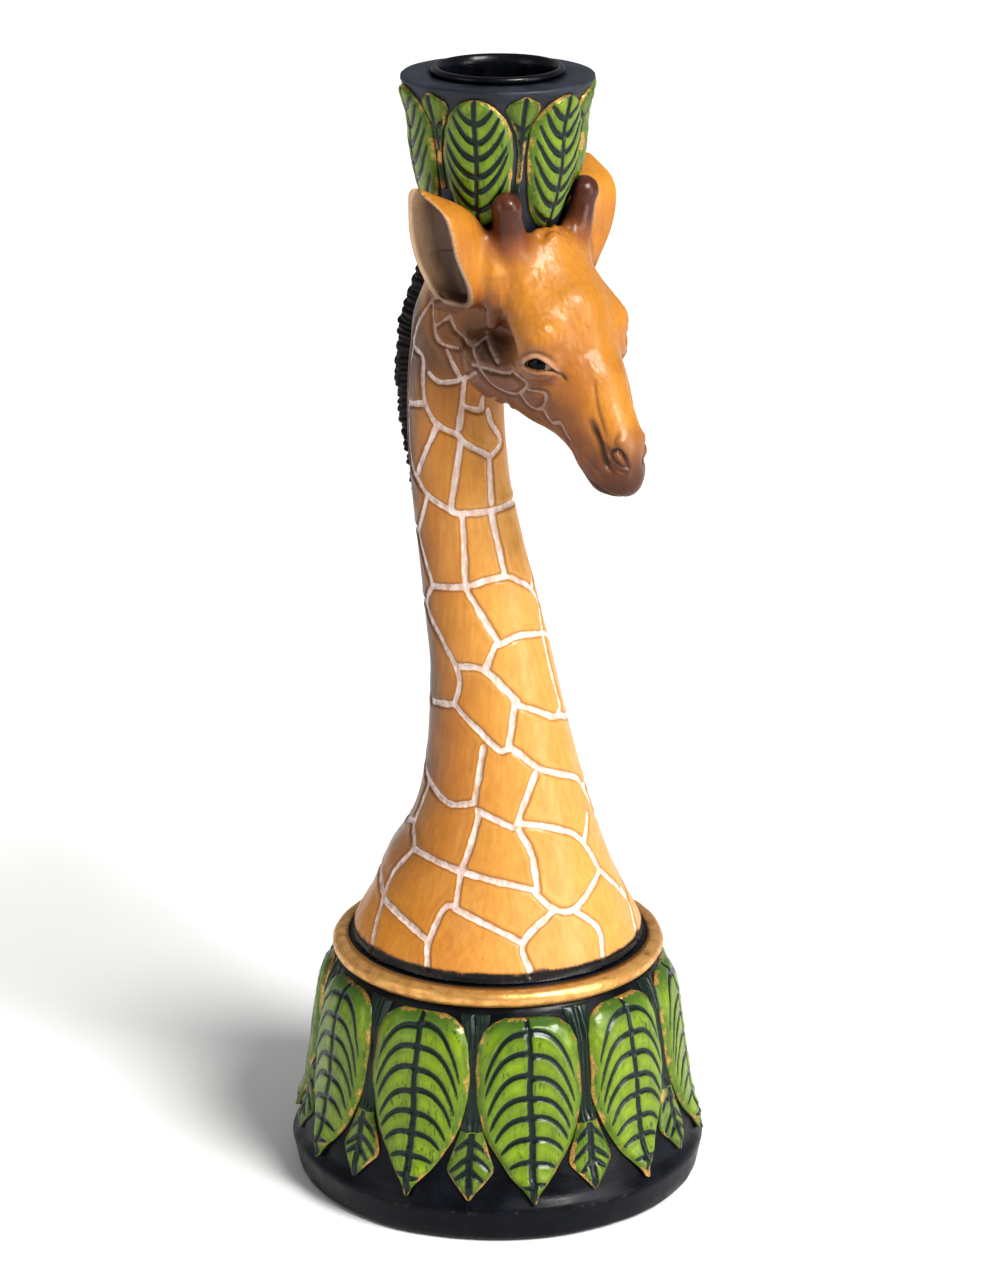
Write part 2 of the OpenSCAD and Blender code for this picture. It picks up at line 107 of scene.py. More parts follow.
zt = np.arange(50, 225, 0.25)
NT = [spline(RZ, [q[i] for q in RINGS], zt) for i in range(1, 5)]
def neck_par(z): return [np.interp(z, zt, t) for t in NT]
def neck_sdf(S, R, Z):
    s0, af, ab, b = neck_par(Z)
    u = S - s0; A = np.where(u > 0, af, ab)
    rho = np.sqrt((R / b)**2 + (u / A)**2) + 1e-6
    g = np.sqrt((R / b**2)**2 + (u / A**2)**2) / rho
    return (rho - 1) / np.maximum(g, 0.02) * 0.85

# ears: rows of height, rear edge (s, r), front edge (s, r), depth line r, wall
EAR = [(201.3, 1, 16.4, 7, 16.8, 8, 2.4), (203, -1.4, 17.6, 9.6, 18, 7.4, 2.2), (206, -3.8, 18.4, 11.2, 19.2, 7, 2.0),
       (210, -5.1, 19.6, 11.6, 21.4, 7, 1.8), (214, -5.3, 20.8, 11.6, 23.6, 8.2, 1.6), (218, -4.8, 22.1, 11.5, 24.8, 10.6, 1.5),
       (221.5, -3.8, 23.3, 10.8, 25.4, 14, 1.4), (224.5, -2.5, 24.6, 8.4, 25.8, 18.2, 1.3),
       (226.6, -1.2, 25.5, 4.6, 26, 22.6, 1.5), (227.8, .2, 26, 2.6, 26.1, 25, .7)]
EZ = [q[0] for q in EAR]
ezt = np.arange(201.3, 227.8, 0.1)
ET = [spline(EZ, [q[i] for q in EAR], ezt) for i in range(1, 7)]
def ear_f(S, Q, Z):
    rs, rr, fs, fr, dl, w = [np.interp(Z, ezt, t) for t in ET]
    cs = (rs + fs) / 2; hw = np.maximum((fs - rs) / 2, 0.3)
    t = np.clip((S - rs) / np.maximum(fs - rs, .3), -0.3, 1.3)
    rim = rr + (fr - rr) * t; dep = np.maximum(rim - dl, 0.4)
    n = 2.5
    def se(h, d, lim):
        e = (np.abs((S - cs) / h)**n + np.abs(np.minimum(Q - rim, 0) / d)**n + 1e-9)**(1 / n)
        return (e - 1) * np.minimum(h, d)
    outer = se(hw, dep, 0)
    hi = np.maximum(hw - w, 0.15); di = np.maximum(rim - np.maximum(np.maximum(dl + w, 12.8), sstep(209, 213, Z) * (cup_r(Z) + 2.1)), 0.15)
    inner = se(hi, di, 0)
    d = smax(outer, -smax(inner, 203.2 - Z, 1.0), 0.5)
    d = smax(d, Q - rim, 0.7)
    return smax(smax(d, Z - 227.9, .6), 201.0 - Z, 2.0)

HORN_A, HORN_B = (12.4, 8.9, 211.5), (13.8, 11.7, 223.6)
EYE = (22.4, 10.4, 191.9)
def eye_open(S, Q, Z):
    """along-slit place, height over the slit's middle line, and distance outside the opening"""
    du = (S - 23.2) * 0.93 + (Q - 10.2) * -0.36; dv = Z - 191.7 + 0.12 * du
    mid = 0.5 - np.where(du < .5, .06, .16) * (du - .5)**2
    h = 1.25 * np.maximum(1 - (du / 3.50)**2, -2) * (1 - .15 * np.clip(du, 0, 4))
    return du, dv - mid, np.abs(dv - mid) - h, h

def head_sdf(S, R, Z, ears=True):
    Q = np.abs(R); P = (S, Q, Z); C = (S, R, Z)
    d = rc(C, (-3, 0, 203.6), (11, 0, 205.2), 10.6, 11.2)
    d = smin(d, rc(C, (-9.6, 0, 193), (-4, 0, 202), 10.2, 10.4), 3)
    d = smin(d, rc(C, (11, 0, 205.2), (19, 0, 200), 11.0, 9.2), 3)
    d = smin(d, rc(P, (13.5, 7.6, 206), (21.8, 9.2, 197.0), 4.8, 5.6), 3)
    d = smin(d, rc(C, (19, 0, 199.5), (27.6, 0, 187.2), 8.6, 6.3), 4)
    d = smin(d, rc(C, (27.6, 0, 187.2), (35.0, 0, 175.6), 6.3, 5.2), 2.5)
    d = smin(d, rc(P, (21, 5.3, 193), (28.2, 3.2, 183.4), 6.4, 4.5), 3)
    d = smin(d, rc(P, (28.2, 3.2, 183.4), (34.7, 2.4, 174.4), 4.5, 3.3), 2)
    d = smin(d, rc(P, (3.5, 4.4, 189), (19, 5.2, 188.4), 7.4, 6.8), 3)
    d = smin(d, rc(P, (19, 5.0, 187.8), (28.5, 2.9, 179.2), 6.4, 4.9), 2.5)
    d = smin(d, rc(P, (4.0, 2.6, 185.6), (17.4, 2.9, 182.8), 6.8, 6.0), 3)
    d = smin(d, rc(P, (17.4, 2.9, 182.8), (28.0, 2.4, 177.4), 6.0, 4.9), 2.5)
    d = smin(d, rc(P, (28.0, 2.4, 177.4), (31.0, 2.0, 172.0), 4.9, 4.4), 2)
    d = smin(d, rc(P, (31.0, 2.0, 172.0), (34.6, 2.0, 168.8), 4.4, 4.3), 1.5)
    d = smin(d, rc(P, (34.8, 2.2, 173.4), (34.4, 1.8, 169.2), 3.9, 4.4), 2)
    d = smin(d, rc(C, (36.3, 0, 173.6), (36.5, 0, 167.6), 4.2, 4.2), 1.5)
    d = smin(d, sph(P, (36.0, 3.2, 173.4), 2.5), 1.2)
    # crown boss with a rough knob between the horns
    d = smin(d, rc(P, (12.0, 3.5, 211.2), (14.2, 0, 213.4), 5.6, 4.6), 2.5)
    # horns
    d = smin(d, rc(P, HORN_A, HORN_B, 4.3, 2.85), 3.0)
    d = smin(d, sph(P, HORN_B, 3.05), 1.0)
    # orbit, lids and the almond opening
    d = smin(d, sph(P, (22.0, 9.1, 192.2), 4.6), 2.0)
    op = eye_open(S, Q, Z)[2]
    lid = sph(P, (22.8, 9.8, 191.9), 4.25)
    d = smin(d, lid, 0.9)
    dq = sph(P, (22.6, 9.9, 191.9), 3.35)
    d = smax(d, -smax(smax(op, -dq, 0.2), 9.0 - Q, 0.3), 0.35)
    if ears:
        fold = np.minimum(rc(P, (10.2, 13.6, 216.2), (12.4, 14.0, 209.5), 1.7, 2.1), rc(P, (12.4, 14.0, 209.5), (11.7, 13.1, 203.5), 2.1, 2.0))
        fold = smin(fold, rc(P, (11.7, 13.1, 203.5), (9.6, 11.4, 198.4), 2.0, 1.5), .8)
        d = smin(d, smin(ear_f(S, Q, Z), fold, 2.2), 1.8)
    # seat of the candle cup
    cr = cup_r(Z) + 1.0
    cup = np.maximum(np.sqrt(S * S + R * R) - cr, 213.2 - Z)
    return smax(d, -cup, 0.4)

def body_sdf(S, R, Z):
    n = neck_sdf(S, R, Z)
    if np.max(Z) < 158: return np.maximum(n, 55.1 - Z)
    n = smax(n, Z - 206.5, 5)
    h = head_sdf(S, R, Z)
    return np.maximum(smin(n, h, 3.5 + 0 * Z), 55.1 - Z)

# ---------------------------------------------------------------- surface nets
def surface_nets(Fv, xs, ys, zs):
    nx, ny, nz = Fv.shape
    ins = Fv < 0
    cnt = np.zeros((nx - 1, ny - 1, nz - 1), np.int8)
    for i in (0, 1):
        for j in (0, 1):
            for k in (0, 1):
                cnt += ins[i:nx - 1 + i, j:ny - 1 + j, k:nz - 1 + k]
    mixed = (cnt > 0) & (cnt < 8)
    ci = np.argwhere(mixed); n = len(ci)
    idx = np.full(mixed.shape, -1, np.int32); idx[mixed] = np.arange(n)
    X = [np.asarray(xs), np.asarray(ys), np.asarray(zs)]
    acc = np.zeros((n, 3)); num = np.zeros(n)
    for ax in range(3):
        o1, o2 = [a for a in range(3) if a != ax]
        for a in (0, 1):
            for b in (0, 1):
                c0 = ci.copy(); c0[:, o1] += a; c0[:, o2] += b
                c1 = c0.copy(); c1[:, ax] += 1
                v0 = Fv[c0[:, 0], c0[:, 1], c0[:, 2]].astype(float); v1 = Fv[c1[:, 0], c1[:, 1], c1[:, 2]].astype(float)
                m = (v0 < 0) != (v1 < 0)
                t = np.where(m, v0 / np.where(m, v0 - v1, 1), 0)
                p = np.stack([X[q][c0[:, q]] for q in range(3)], 1)
                p[:, ax] += t * (X[ax][c1[:, ax]] - X[ax][c0[:, ax]])
                acc[m] += p[m]; num[m] += 1
    V = acc / num[:, None]
    faces = []
    for ax in range(3):
        o1, o2 = [(1, 2), (2, 0), (0, 1)][ax]
        sl0 = [slice(None)] * 3; sl1 = [slice(None)] * 3
        sl0[ax] = slice(0, -1); sl1[ax] = slice(1, None)
        for q in (o1, o2): sl0[q] = slice(1, -1); sl1[q] = slice(1, -1)
        a = ins[tuple(sl0)]; b = ins[tuple(sl1)]
        e = np.argwhere(a != b)
        g = e.copy(); g[:, o1] += 1; g[:, o2] += 1
        def cell(d1, d2):
            c = g.copy(); c[:, o1] += d1; c[:, o2] += d2
            return idx[c[:, 0], c[:, 1], c[:, 2]]
        q = np.stack([cell(-1, -1), cell(0, -1), cell(0, 0), cell(-1, 0)], 1)
        fl = a[e[:, 0], e[:, 1], e[:, 2]]
        q[~fl] = q[~fl][:, ::-1]
        faces.append(q)
    return V, np.concatenate(faces)

def axis_grid(parts):
    out = [np.array([parts[0][0]])]
    for a, b, h in parts:
        n = int(round((b - a) / h)); out.append(np.linspace(a, b, n + 1)[1:])
    return np.concatenate(out)

def field_mesh():
    q = 1.0
    # axes in giraffe coordinates: s, r, z
    ss = axis_grid([(-35, -27.5, .6 * q), (-27.5, 43, .42 * q)])
    rr = axis_grid([(-34.5, -28, .7 * q), (-28, 28, .42 * q), (28, 34.5, .7 * q)])
    zz = axis_grid([(54, 150, .62 * q), (150, 163, .5 * q), (163, 229.5, .38 * q)])
    Fv = np.full((len(ss), len(rr), len(zz)), 5.0, F32)
    for k0 in range(0, len(zz), 12):
        z = zz[k0:k0 + 12]
        S, R, Z = np.meshgrid(ss, rr, z, indexing="ij")
        if z[-1] > 158:   # only the head's own space
            mr = np.abs(rr) < 29
            S, R, Z = S[:, mr], R[:, mr], Z[:, mr]
            Fv[:, mr, k0:k0 + 12] = body_sdf(S, R, Z)
        else:
            Fv[:, :, k0:k0 + 12] = body_sdf(S, R, Z)
    V, Fc = surface_nets(Fv, ss, rr, zz)
    # two Newton steps onto the true surface
    for _ in range(2):
        V = np.array(V)
        m = V[:, 2] > 57.2
        for sel, lo in ((m & (V[:, 2] < 157), True), (m & (V[:, 2] >= 157), False)):
            if not sel.any(): continue
            p = V[sel]; e = 0.05
            f = body_sdf(p[:, 0], p[:, 1], p[:, 2])
            g = np.stack([(body_sdf(*(p + e * np.eye(3)[i]).T) - body_sdf(*(p - e * np.eye(3)[i]).T)) / (2 * e) for i in range(3)], 1)
            st = (f / np.maximum((g**2).sum(1), .15))[:, None] * g
            l = np.linalg.norm(st, axis=1, keepdims=True)
            V[sel] = p - st * np.minimum(1, 0.3 / np.maximum(l, 1e-9))
    return V, Fc

def normals_of(V, Fc):
    a, b, c, d = (V[Fc[:, i]] for i in range(4))
    n = np.cross(c - a, d - b); N = np.zeros_like(V)
    for i in range(4): 
        for k in range(3): N[:, k] += np.bincount(Fc[:, i], n[:, k], len(V))
    return N / np.maximum(np.linalg.norm(N, axis=1, keepdims=True), 1e-12)

# ---------------------------------------------------------------- blender mesh
def to_xyz(P):   # giraffe mm -> metres in the shared frame
    return np.stack([-P[:, 1], -P[:, 0], P[:, 2]], 1) * MM

def make_obj(name, V, faces, attrs=None, smooth=True, mat=None, repl=(), colour=None):
    me = bpy.data.meshes.new(name)
    me.from_pydata(V.tolist() if isinstance(V, np.ndarray) else V, [], faces.tolist() if isinstance(faces, np.ndarray) else faces)
    me.validate(verbose=False)
    me.polygons.foreach_set("use_smooth", [smooth] * len(me.polygons))
    for k, v in (attrs or {}).items():
        a = me.attributes.new(k, "FLOAT", "POINT"); a.data.foreach_set("value", np.asarray(v, F32))
    if colour is not None:
        a = me.attributes.new("paint", "FLOAT_COLOR", "POINT")
        c = np.ones((len(V), 4), F32); c[:, :3] = colour; a.data.foreach_set("color", c.ravel())
    me.update()
    ob = bpy.data.objects.new(name, me); bpy.context.scene.collection.objects.link(ob)
    if mat: me.materials.append(mat)
    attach(ob, "root")
    if repl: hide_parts(*repl)
    return ob

# ---------------------------------------------------------------- grooves cut between the patches (s, r, z)
GROOVES = [
    [(-9.5, 11, 200), (1, 17.5, 203.5)],
    [(-9.5, 11, 199.5), (-14.5, 10, 193.5), (-18.5, 7.5, 185.5), (-20.5, 7, 177.5), (-20, 7.5, 167), (-18.5, 8, 161.5), (-17, 9, 159.5)],
    [(-9, 11, 199.5), (-8.5, 11, 194), (-7.5, 10.5, 191), (-5.5, 10, 190), (-3, 9.5, 190)],
    [(-8.5, 11, 194), (-4, 11, 197)],
    [(-4, 11, 197), (-2.5, 9.5, 193.5), (3, 11, 192), (5.5, 9, 194)],
    [(3, 11, 192), (5, 12, 189)],
    [(-6, 9.5, 189), (-4.5, 7.5, 183)],
    [(-11.5, 9.5, 183), (-9, 9, 181.5), (-4, 7, 182.5), (4, 12, 186)],
    [(-3.5, 7, 182.5), (-4.5, 6.5, 176.5), (-5, 7, 171.5)],
    [(-4.5, 6.5, 176.5), (-2, 3, 175.5), (7, 8.5, 180)],
    [(-16.5, 8.5, 187.5), (-13.5, 9.5, 186.5), (-13.5, 9.5, 181.5), (-13, 9.5, 176.5), (-9.5, 9, 172), (-5, 7, 170), (-4, 6.5, 168.5), (-1, 1.5, 165)],
    [(-19.5, 7.5, 174.5), (-13, 9.5, 176)],
    [(-9.5, 9, 171.5), (-15.5, 9.5, 160)],
    [(-4.5, 7, 168.5), (-5.5, 9, 154)],
    [(-1, 1.5, 164.5), (-1.5, -2.5, 168.5), (10, 8.5, 179.5)],
    [(-1, 1.5, 164), (0.5, 2.5, 155)],
    [(-16, 9, 159), (-12, 10, 156), (-5.5, 9, 153.5), (-3.5, 8.5, 153), (1, 3, 153.5), (-0.5, -5.5, 153.5)],
    [(-12, 10, 155.5), (-13.5, 10, 151), (-16, 8.5, 146.5)],
    [(3.5, 12, 188), (13, 12, 188), (15.5, 12, 189)],
    [(5, 12, 188.5), (8, 11, 184.5), (12, 10.5, 183), (16.5, 11, 184), (20, 12.5, 187), (15.5, 12, 189)],
    [(16.5, 11, 184), (19, 10, 181), (22, 10, 181.5), (24, 11, 185), (20, 12, 185.5)],
    [(22, 10, 181.5), (23.5, 9, 178), (26, 9, 179), (28, 8, 175.5)],
    [(5.5, 9, 194), (11, 12, 190)],
    [(-3, 8, 152.5), (-0.5, 9.5, 138)],
    [(1, 3, 153), (5, 3, 139.5)],
    [(-16, 8.5, 146.5), (-10, 11, 137)],
    [(-9.5, 11, 136), (-0.5, 10, 137.5), (3, 6.5, 139), (5.5, 2.5, 139.5), (6, 0, 138), (6, -4.5, 135), (6, -6.5, 131), (9, -5, 126), (11.5, -4.5, 118), (13.5, -5.5, 110.5), (15, -3, 108.5)],
    [(3.5, -7, 137.5), (6, -4.5, 135)],
    [(0, 10, 137), (3, 9, 132.5), (7, 7.5, 126.5)],
    [(7.5, 7.5, 125.5), (9.5, 3, 127), (8, -6.5, 125)],
    [(7, 8, 125.5), (6, 10.5, 120)],
    [(-1, 12.5, 120), (6, 10.5, 120), (12, 6.5, 113.5)],
    [(-9.5, 11, 136), (-12, 10, 131), (-6.5, 12, 125.5), (-1, 12.5, 120), (0.5, 13, 116), (-0.5, 13.5, 111.5)],
    [(-9.5, 11, 109.5), (-0.5, 13.5, 111.5)],
    [(12, 7, 113), (15.5, -1, 109), (15, -3, 108.5)],
    [(12, 7, 113), (12.5, 9.5, 104.5)],
    [(-0.5, 13.5, 111.5), (7, 12.5, 106.5), (11.5, 11, 103), (13, 9, 103.5), (17.5, 5, 99), (18.5, -6, 94), (18.5, -8, 91.5), (17, -13.5, 82.5)],
    [(8, 13, 103.5), (8, 16, 91.5)],
    [(17, 6, 98), (17, 11.5, 88)],
    [(-7, 14.5, 92.5), (1.5, 17, 90), (8, 16, 91.5)],
    [(9, 16, 90), (16.5, 12.5, 87)],
    [(17, 11.5, 88), (20.5, 7, 87), (23, 0, 84), (24, -3.5, 80), (25.5, -6, 74.5)],
    [(20.5, -7, 86), (23.5, -3, 81.5)],
    [(9.5, 16, 89.5), (9, 18, 82.5), (8.5, 20.5, 76.5), (9.5, 23, 70)],
    [(17.5, 11.5, 86.5), (20.5, 10.5, 81), (23, 11.5, 74)],
    [(-7.5, 19.5, 78), (8, 20.5, 77), (22.5, 12, 74)],
    [(-7, 14.5, 92.5), (-10.5, 16, 82.5), (-7.5, 19.5, 78), (-12, 21, 71), (-12.5, 23.5, 66.5)],
    [(23, 12, 73.5), (26, 9.5, 70), (27.5, 4.5, 69), (25.5, -6, 74.5)],
    [(25.5, -6, 74.5), (24, -16.5, 64)],
    [(24, -15, 67.5), (24, -16.5, 64), (28, -15, 58)],
    [(27.5, 5, 69), (30, -0.5, 63.5), (32, 0, 58)],
    [(26, 9.5, 69.5), (24, 17, 63.5), (27, 17.5, 57.5)],
    [(9.5, 23.5, 69.5), (24, 17, 63.5)],
    [(9.5, 23, 70), (7, 24.5, 69), (6.5, 28.5, 62.5), (8.5, 31, 57)],
    [(-12, 24, 66), (6, 28.5, 62.5)],
    [(-12.5, 24, 66), (-9, 31, 57.5)]]

# the unseen left side continues the same net: its own copies from far enough round, and ties at the seam
def azim(p): return math.degrees(math.atan2(p[1], p[0] - float(neck_par(np.array([p[2]]))[0][0])))
LEFT = []
for g in GROOVES:
    ok = all(q[1] >= (4.0 if q[2] > 150 else 6.0) and abs(azim(q)) > (20 if q[2] > 165 else 42) for q in g)
    if ok: LEFT.append([(s, -r, z) for s, r, z in g])
TIES = [
    [(15.0, -3.0, 108.5), (10, -11, 106), (-.5, -13.5, 111.5)], [(6, -6.5, 131), (3, -9.5, 132.5), (-.5, -10, 137)],
    [(18.5, -8, 91.5), (12, -14, 91), (8, -16, 91.5)], [(24, -16.5, 64), (17, -22, 69), (9.5, -23, 70)],
    [(17, -13.5, 82.5), (9, -18, 82.5)], [(8, -6.5, 125), (2, -12, 120)], [(-.5, -5.5, 153.5), (-5.5, -9, 153.5)],
    [(28, -15, 58), (29, -16, 56)],
    [(-7, 14.5, 92.5), (-13, 11, 95), (-16.5, 4, 98), (-16.5, -4, 98), (-13, -11, 95), (-7, -14.5, 92.5)],
    [(-10.5, 16, 82.5), (-18, 10, 80), (-21.5, 0, 82), (-18, -10, 80), (-10.5, -16, 82.5)],
    [(-12.5, 23.5, 66.5), (-20, 18, 69), (-26.5, 8, 68), (-28, 0, 70), (-26.5, -8, 68), (-20, -18, 69), (-12.5, -23.5, 66.5)],
    [(-21.5, 0, 82), (-24, 1, 76), (-28, 0, 70)], [(-26.5, 8, 68), (-28, 12, 62), (-29, 14, 56)],
    [(-26.5, -8, 68), (-28, -12, 62), (-29, -14, 56)], [(-16.5, 4, 98), (-17, 2, 106), (-16.5, 5, 114), (-12, 10, 110)],
    [(-16.5, -4, 98), (-17, -3, 106), (-16.5, -5, 114), (-12, -10, 110)], [(-16.5, 5, 114), (-17.5, 0, 117), (-16.5, -5, 114)],
    [(-17.5, 0, 117), (-18.5, 1, 126), (-17, 6, 131), (-12, 10, 131)], [(-17, 6, 131), (-19, 0, 134), (-17, -6, 131), (-12, -10, 131)],
    [(-19, 0, 134), (-20.5, 1, 143), (-20, 6, 147), (-16, 8.5, 146.5)], [(-20, 6, 147), (-20.5, 0, 148), (-20, -6, 147), (-16, -8.5, 146.5)],
]
GPATHS = GROOVES + LEFT + TIES

def catmull(pts, step):
    P = np.array(pts, float)
    if len(P) == 2:
        n = max(2, int(np.linalg.norm(P[1] - P[0]) / step)); t = np.linspace(0, 1, n + 1)[:, None]
        return P[0] * (1 - t) + P[1] * t
    Q = np.vstack([2 * P[0] - P[1], P, 2 * P[-1] - P[-2]]); out = []
    for i in range(1, len(Q) - 2):
        n = max(2, int(np.linalg.norm(Q[i + 1] - Q[i]) / step)); t = np.linspace(0, 1, n + 1)[:-1, None]
        a, b, c, d = Q[i - 1], Q[i], Q[i + 1], Q[i + 2]
        out.append(0.5 * (2 * b + (c - a) * t + (2 * a - 5 * b + 4 * c - d) * t**2 + (3 * b - a - 3 * c + d) * t**3))
    out.append(P[-1:]); return np.concatenate(out)

def on_surface(P):
    P = P.copy(); e = .05
    for _ in range(3):
        f = body_sdf(P[:, 0], P[:, 1], P[:, 2])
        g = np.stack([(body_sdf(*(P + e * np.eye(3)[i]).T) - body_sdf(*(P - e * np.eye(3)[i]).T)) / (2 * e) for i in range(3)], 1)
        st = (f / np.maximum((g**2).sum(1), .3))[:, None] * g
        l = np.linalg.norm(st, axis=1, keepdims=True); P -= st * np.minimum(1, 2.0 / np.maximum(l, 1e-9))
    return P

def dist_to(V, paths, reach, step=1.0, project=True):
    """distance from each vertex to the nearest path, and how far along that path it is (0..1)"""
    D = np.full(len(V), 99.0); T = np.zeros(len(V))
    order = np.argsort(V[:, 2]); zs = V[order, 2]
    for pth in paths:
        c = catmull(pth, step)
        if project: c = on_surface(c)
        L = len(c) - 1
        for i in range(L):
            a, b = c[i], c[i + 1]; lo, hi = min(a[2], b[2]) - reach, max(a[2], b[2]) + reach
            k = order[np.searchsorted(zs, lo):np.searchsorted(zs, hi)]
            if not len(k): continue
            k = k[(np.abs(V[k, 0] - (a[0] + b[0]) / 2) < reach + step + 1) & (np.abs(V[k, 1] - (a[1] + b[1]) / 2) < reach + step + 1)]
            if not len(k): continue
            ab = b - a; pa = V[k] - a; t = np.clip(pa @ ab / max(ab @ ab, 1e-9), 0, 1)
            d = np.linalg.norm(pa - t[:, None] * ab, axis=1); m = d < D[k]
            D[k[m]] = d[m]; T[k[m]] = (i + t[m]) / L
    return D, T

# ---------------------------------------------------------------- carved body
def carve_and_paint():
    V, Fc = field_mesh()
    N = normals_of(V, Fc)
    S, R, Z = V.T; Q = np.abs(R)
    D, _ = dist_to(V, GPATHS, 2.6)
    wob = vnoise(V, 2.2, 3) * .12 + vnoise(V, .9, 5) * .06
    lo = Z > 55.6
    gd = D + wob
    disp = np.zeros(len(V))
    width = .72
    disp += np.where(lo, -0.42 * np.exp(-(gd / width)**4), 0)
    disp += np.where(lo, 0.10 * np.exp(-((gd - 1.5) / .55)**2), 0)
    # gentle facets left by the gouge, and pillowed patches
    disp += np.where(Z < 200, .10 * vnoise(V * [1, 1, .5], 4.5, 11), .06 * vnoise(V, 5, 12))
    disp += np.where(Z < 190, .035, .018) * vnoise(V * [1, 1, .25], 1.1, 13)
    pt = V.copy(); pt[:, 1] = Q
    # --- head lines, cut on both sides: path, depth, width, paint darkness
    cuts = [
        ([(28.4, 5.6, 170.2), (29.4, 5.6, 168.9), (31.5, 5.9, 167.9), (34.0, 6.1, 166.7), (35.6, 5.2, 165.4), (36.6, 3.2, 164.2), (37.2, 1.4, 163.7), (37.3, 0, 163.6)], .62, .50, .95),
        ([(37.7, 5.2, 173.7), (38.1, 5.0, 174.6), (38.7, 4.3, 174.9), (39.3, 3.6, 174.2), (39.7, 2.8, 172.8), (39.9, 2.2, 171.0)], .80, .42, .95),
        ([(39.9, 2.3, 170.9), (39.2, 3.4, 171.2), (38.5, 4.5, 172.4), (38.0, 5.2, 173.6)], .50, .36, .75),
        ([(33.4, 6.3, 180.0), (34.7, 6.1, 177.2), (35.7, 6.0, 175.5), (36.4, 6.0, 173.6), (36.9, 5.6, 171.9), (37.9, 5.0, 170.5)], .80, .75, .85),
        ([(36.9, 5.6, 175.8), (37.5, 5.4, 174.6), (37.9, 5.2, 173.1), (38.3, 4.7, 171.6), (39.0, 3.7, 170.3), (39.9, 2.4, 169.9)], .30, .36, .55),
        ([(31.6, 6.8, 173.0), (33.6, 6.7, 171.4), (36.0, 6.3, 169.6), (37.9, 5, 168.2)], .20, .6, .20),
        ([(32.4, 4.6, 188.4), (33.1, 5.0, 186.4), (33.9, 5.2, 183.4), (34.7, 5.2, 181.2), (35.5, 5.1, 179.4), (36.3, 4.9, 177.2)], .26, .40, .45),
        ([(38.4, 3.6, 178.2), (38.2, 4.6, 177.0), (38.6, 4.8, 175.9), (39.4, 4.2, 175.9)], .22, .40, .35),
        # lids
        ([(18.4, 12.9, 192.2), (21.0, 14.0, 193.9), (22.9, 14.1, 194.7), (24.6, 13.5, 194.9), (26.1, 12.3, 194.2), (27.2, 10.9, 192.8)], .30, .34, .55),
        ([(20.4, 13.3, 190.1), (22.6, 13.5, 189.6), (24.4, 13.2, 189.7), (25.9, 11.9, 190.0)], .16, .32, .25),
        ([(20.8, 13.2, 188.4), (23.6, 13.0, 187.6), (26.8, 11.4, 187.9)], .12, .4, .12),
        ([(26.9, 9.9, 190.5), (27.8, 9.4, 189.6), (28.6, 9.2, 188.7)], .34, .34, .85),
        ([(18.2, 13.0, 191.0), (19.4, 13.4, 191.3), (20.7, 13.7, 191.5)], .22, .30, .5),
    ]
    dark = np.zeros(len(V))
    for path, dep, w, dk in cuts:
        d, t = dist_to(pt, [[tuple(p) for p in path]], 2.5, step=.7)
        tap = np.sqrt(np.clip(4.5 * np.minimum(t + .05, 1.05 - t), 0, 1))
        disp -= dep * tap * np.exp(-(d / w)**2)
        dark = np.maximum(dark, dk * tap * np.exp(-(d / (w * 1.05))**4))
    lob = np.exp(-((S - 38.9)**2 + (Q - 3.9)**2 + (Z - 172.9)**2) / .9); disp += .38 * lob
    wing = np.exp(-((S - 38.6)**2 / 3 + (Q - 3.4)**2 / 5 + (Z - 176.3)**2 / 1.6)); disp += .35 * wing
    # rough knob of hair on the crown between the horns
    kn = np.exp(-((S - 15.2)**2 / 14 + R**2 / 22 + (Z - 216)**2 / 14))
    disp += kn * (.95 * vnoise(V * [1, 1, .7], 1.8, 21) + .5 * vnoise(V, .9, 22))
    # fine hair strokes over brow, forehead and cheek, running back from the nose
    hair = sstep(178, 188, Z) * (S > 4) * (Q < 16)
    st = np.stack([S * .28 + Z * .1, R * 1.6, Z * .55 - S * .3], 1)
    brow = np.exp(-(((S - 22) / 5)**2 + ((Q - 12) / 5)**2 + ((Z - 197.5) / 3.5)**2))
    disp += hair * (.05 + .10 * brow) * (vnoise(st, .55, 31) + .7 * vnoise(st, .3, 32))
    disp -= .45 * sstep(57.5, 56.7, Z + .3 * vnoise(V, 5, 71))
    V = V + N * disp[:, None]
    # ------------------------------------------------ paint
    N2 = normals_of(V, Fc)
    s0, af, ab, b = neck_par(Z)
    cphi = (S - s0) / np.where(S > s0, af, ab)
    neckm = 1 - sstep(-3.5, 3.5, (S + 7) * .743 + (Z - 189.5) * .669)
    n1, n2, n3 = vnoise(V, 14, 41), vnoise(V, 6, 42), vnoise(V * [1, 1, .35], 2.2, 43)
    def mix(c, col, m): return c + (np.array(col) - c) * np.clip(m, 0, 1)[:, None]
    c = np.tile(np.array([.59, .262, .034]), (len(V), 1))
    c = mix(c, (.50, .180, .028), .35 + .30 * n1 + .15 * n2)
    c = mix(c, (.70, .38, .11), .30 * sstep(.1, .8, n2) + .1 * n3)
    brown = (.155, .058, .026); umber = (.075, .028, .016)
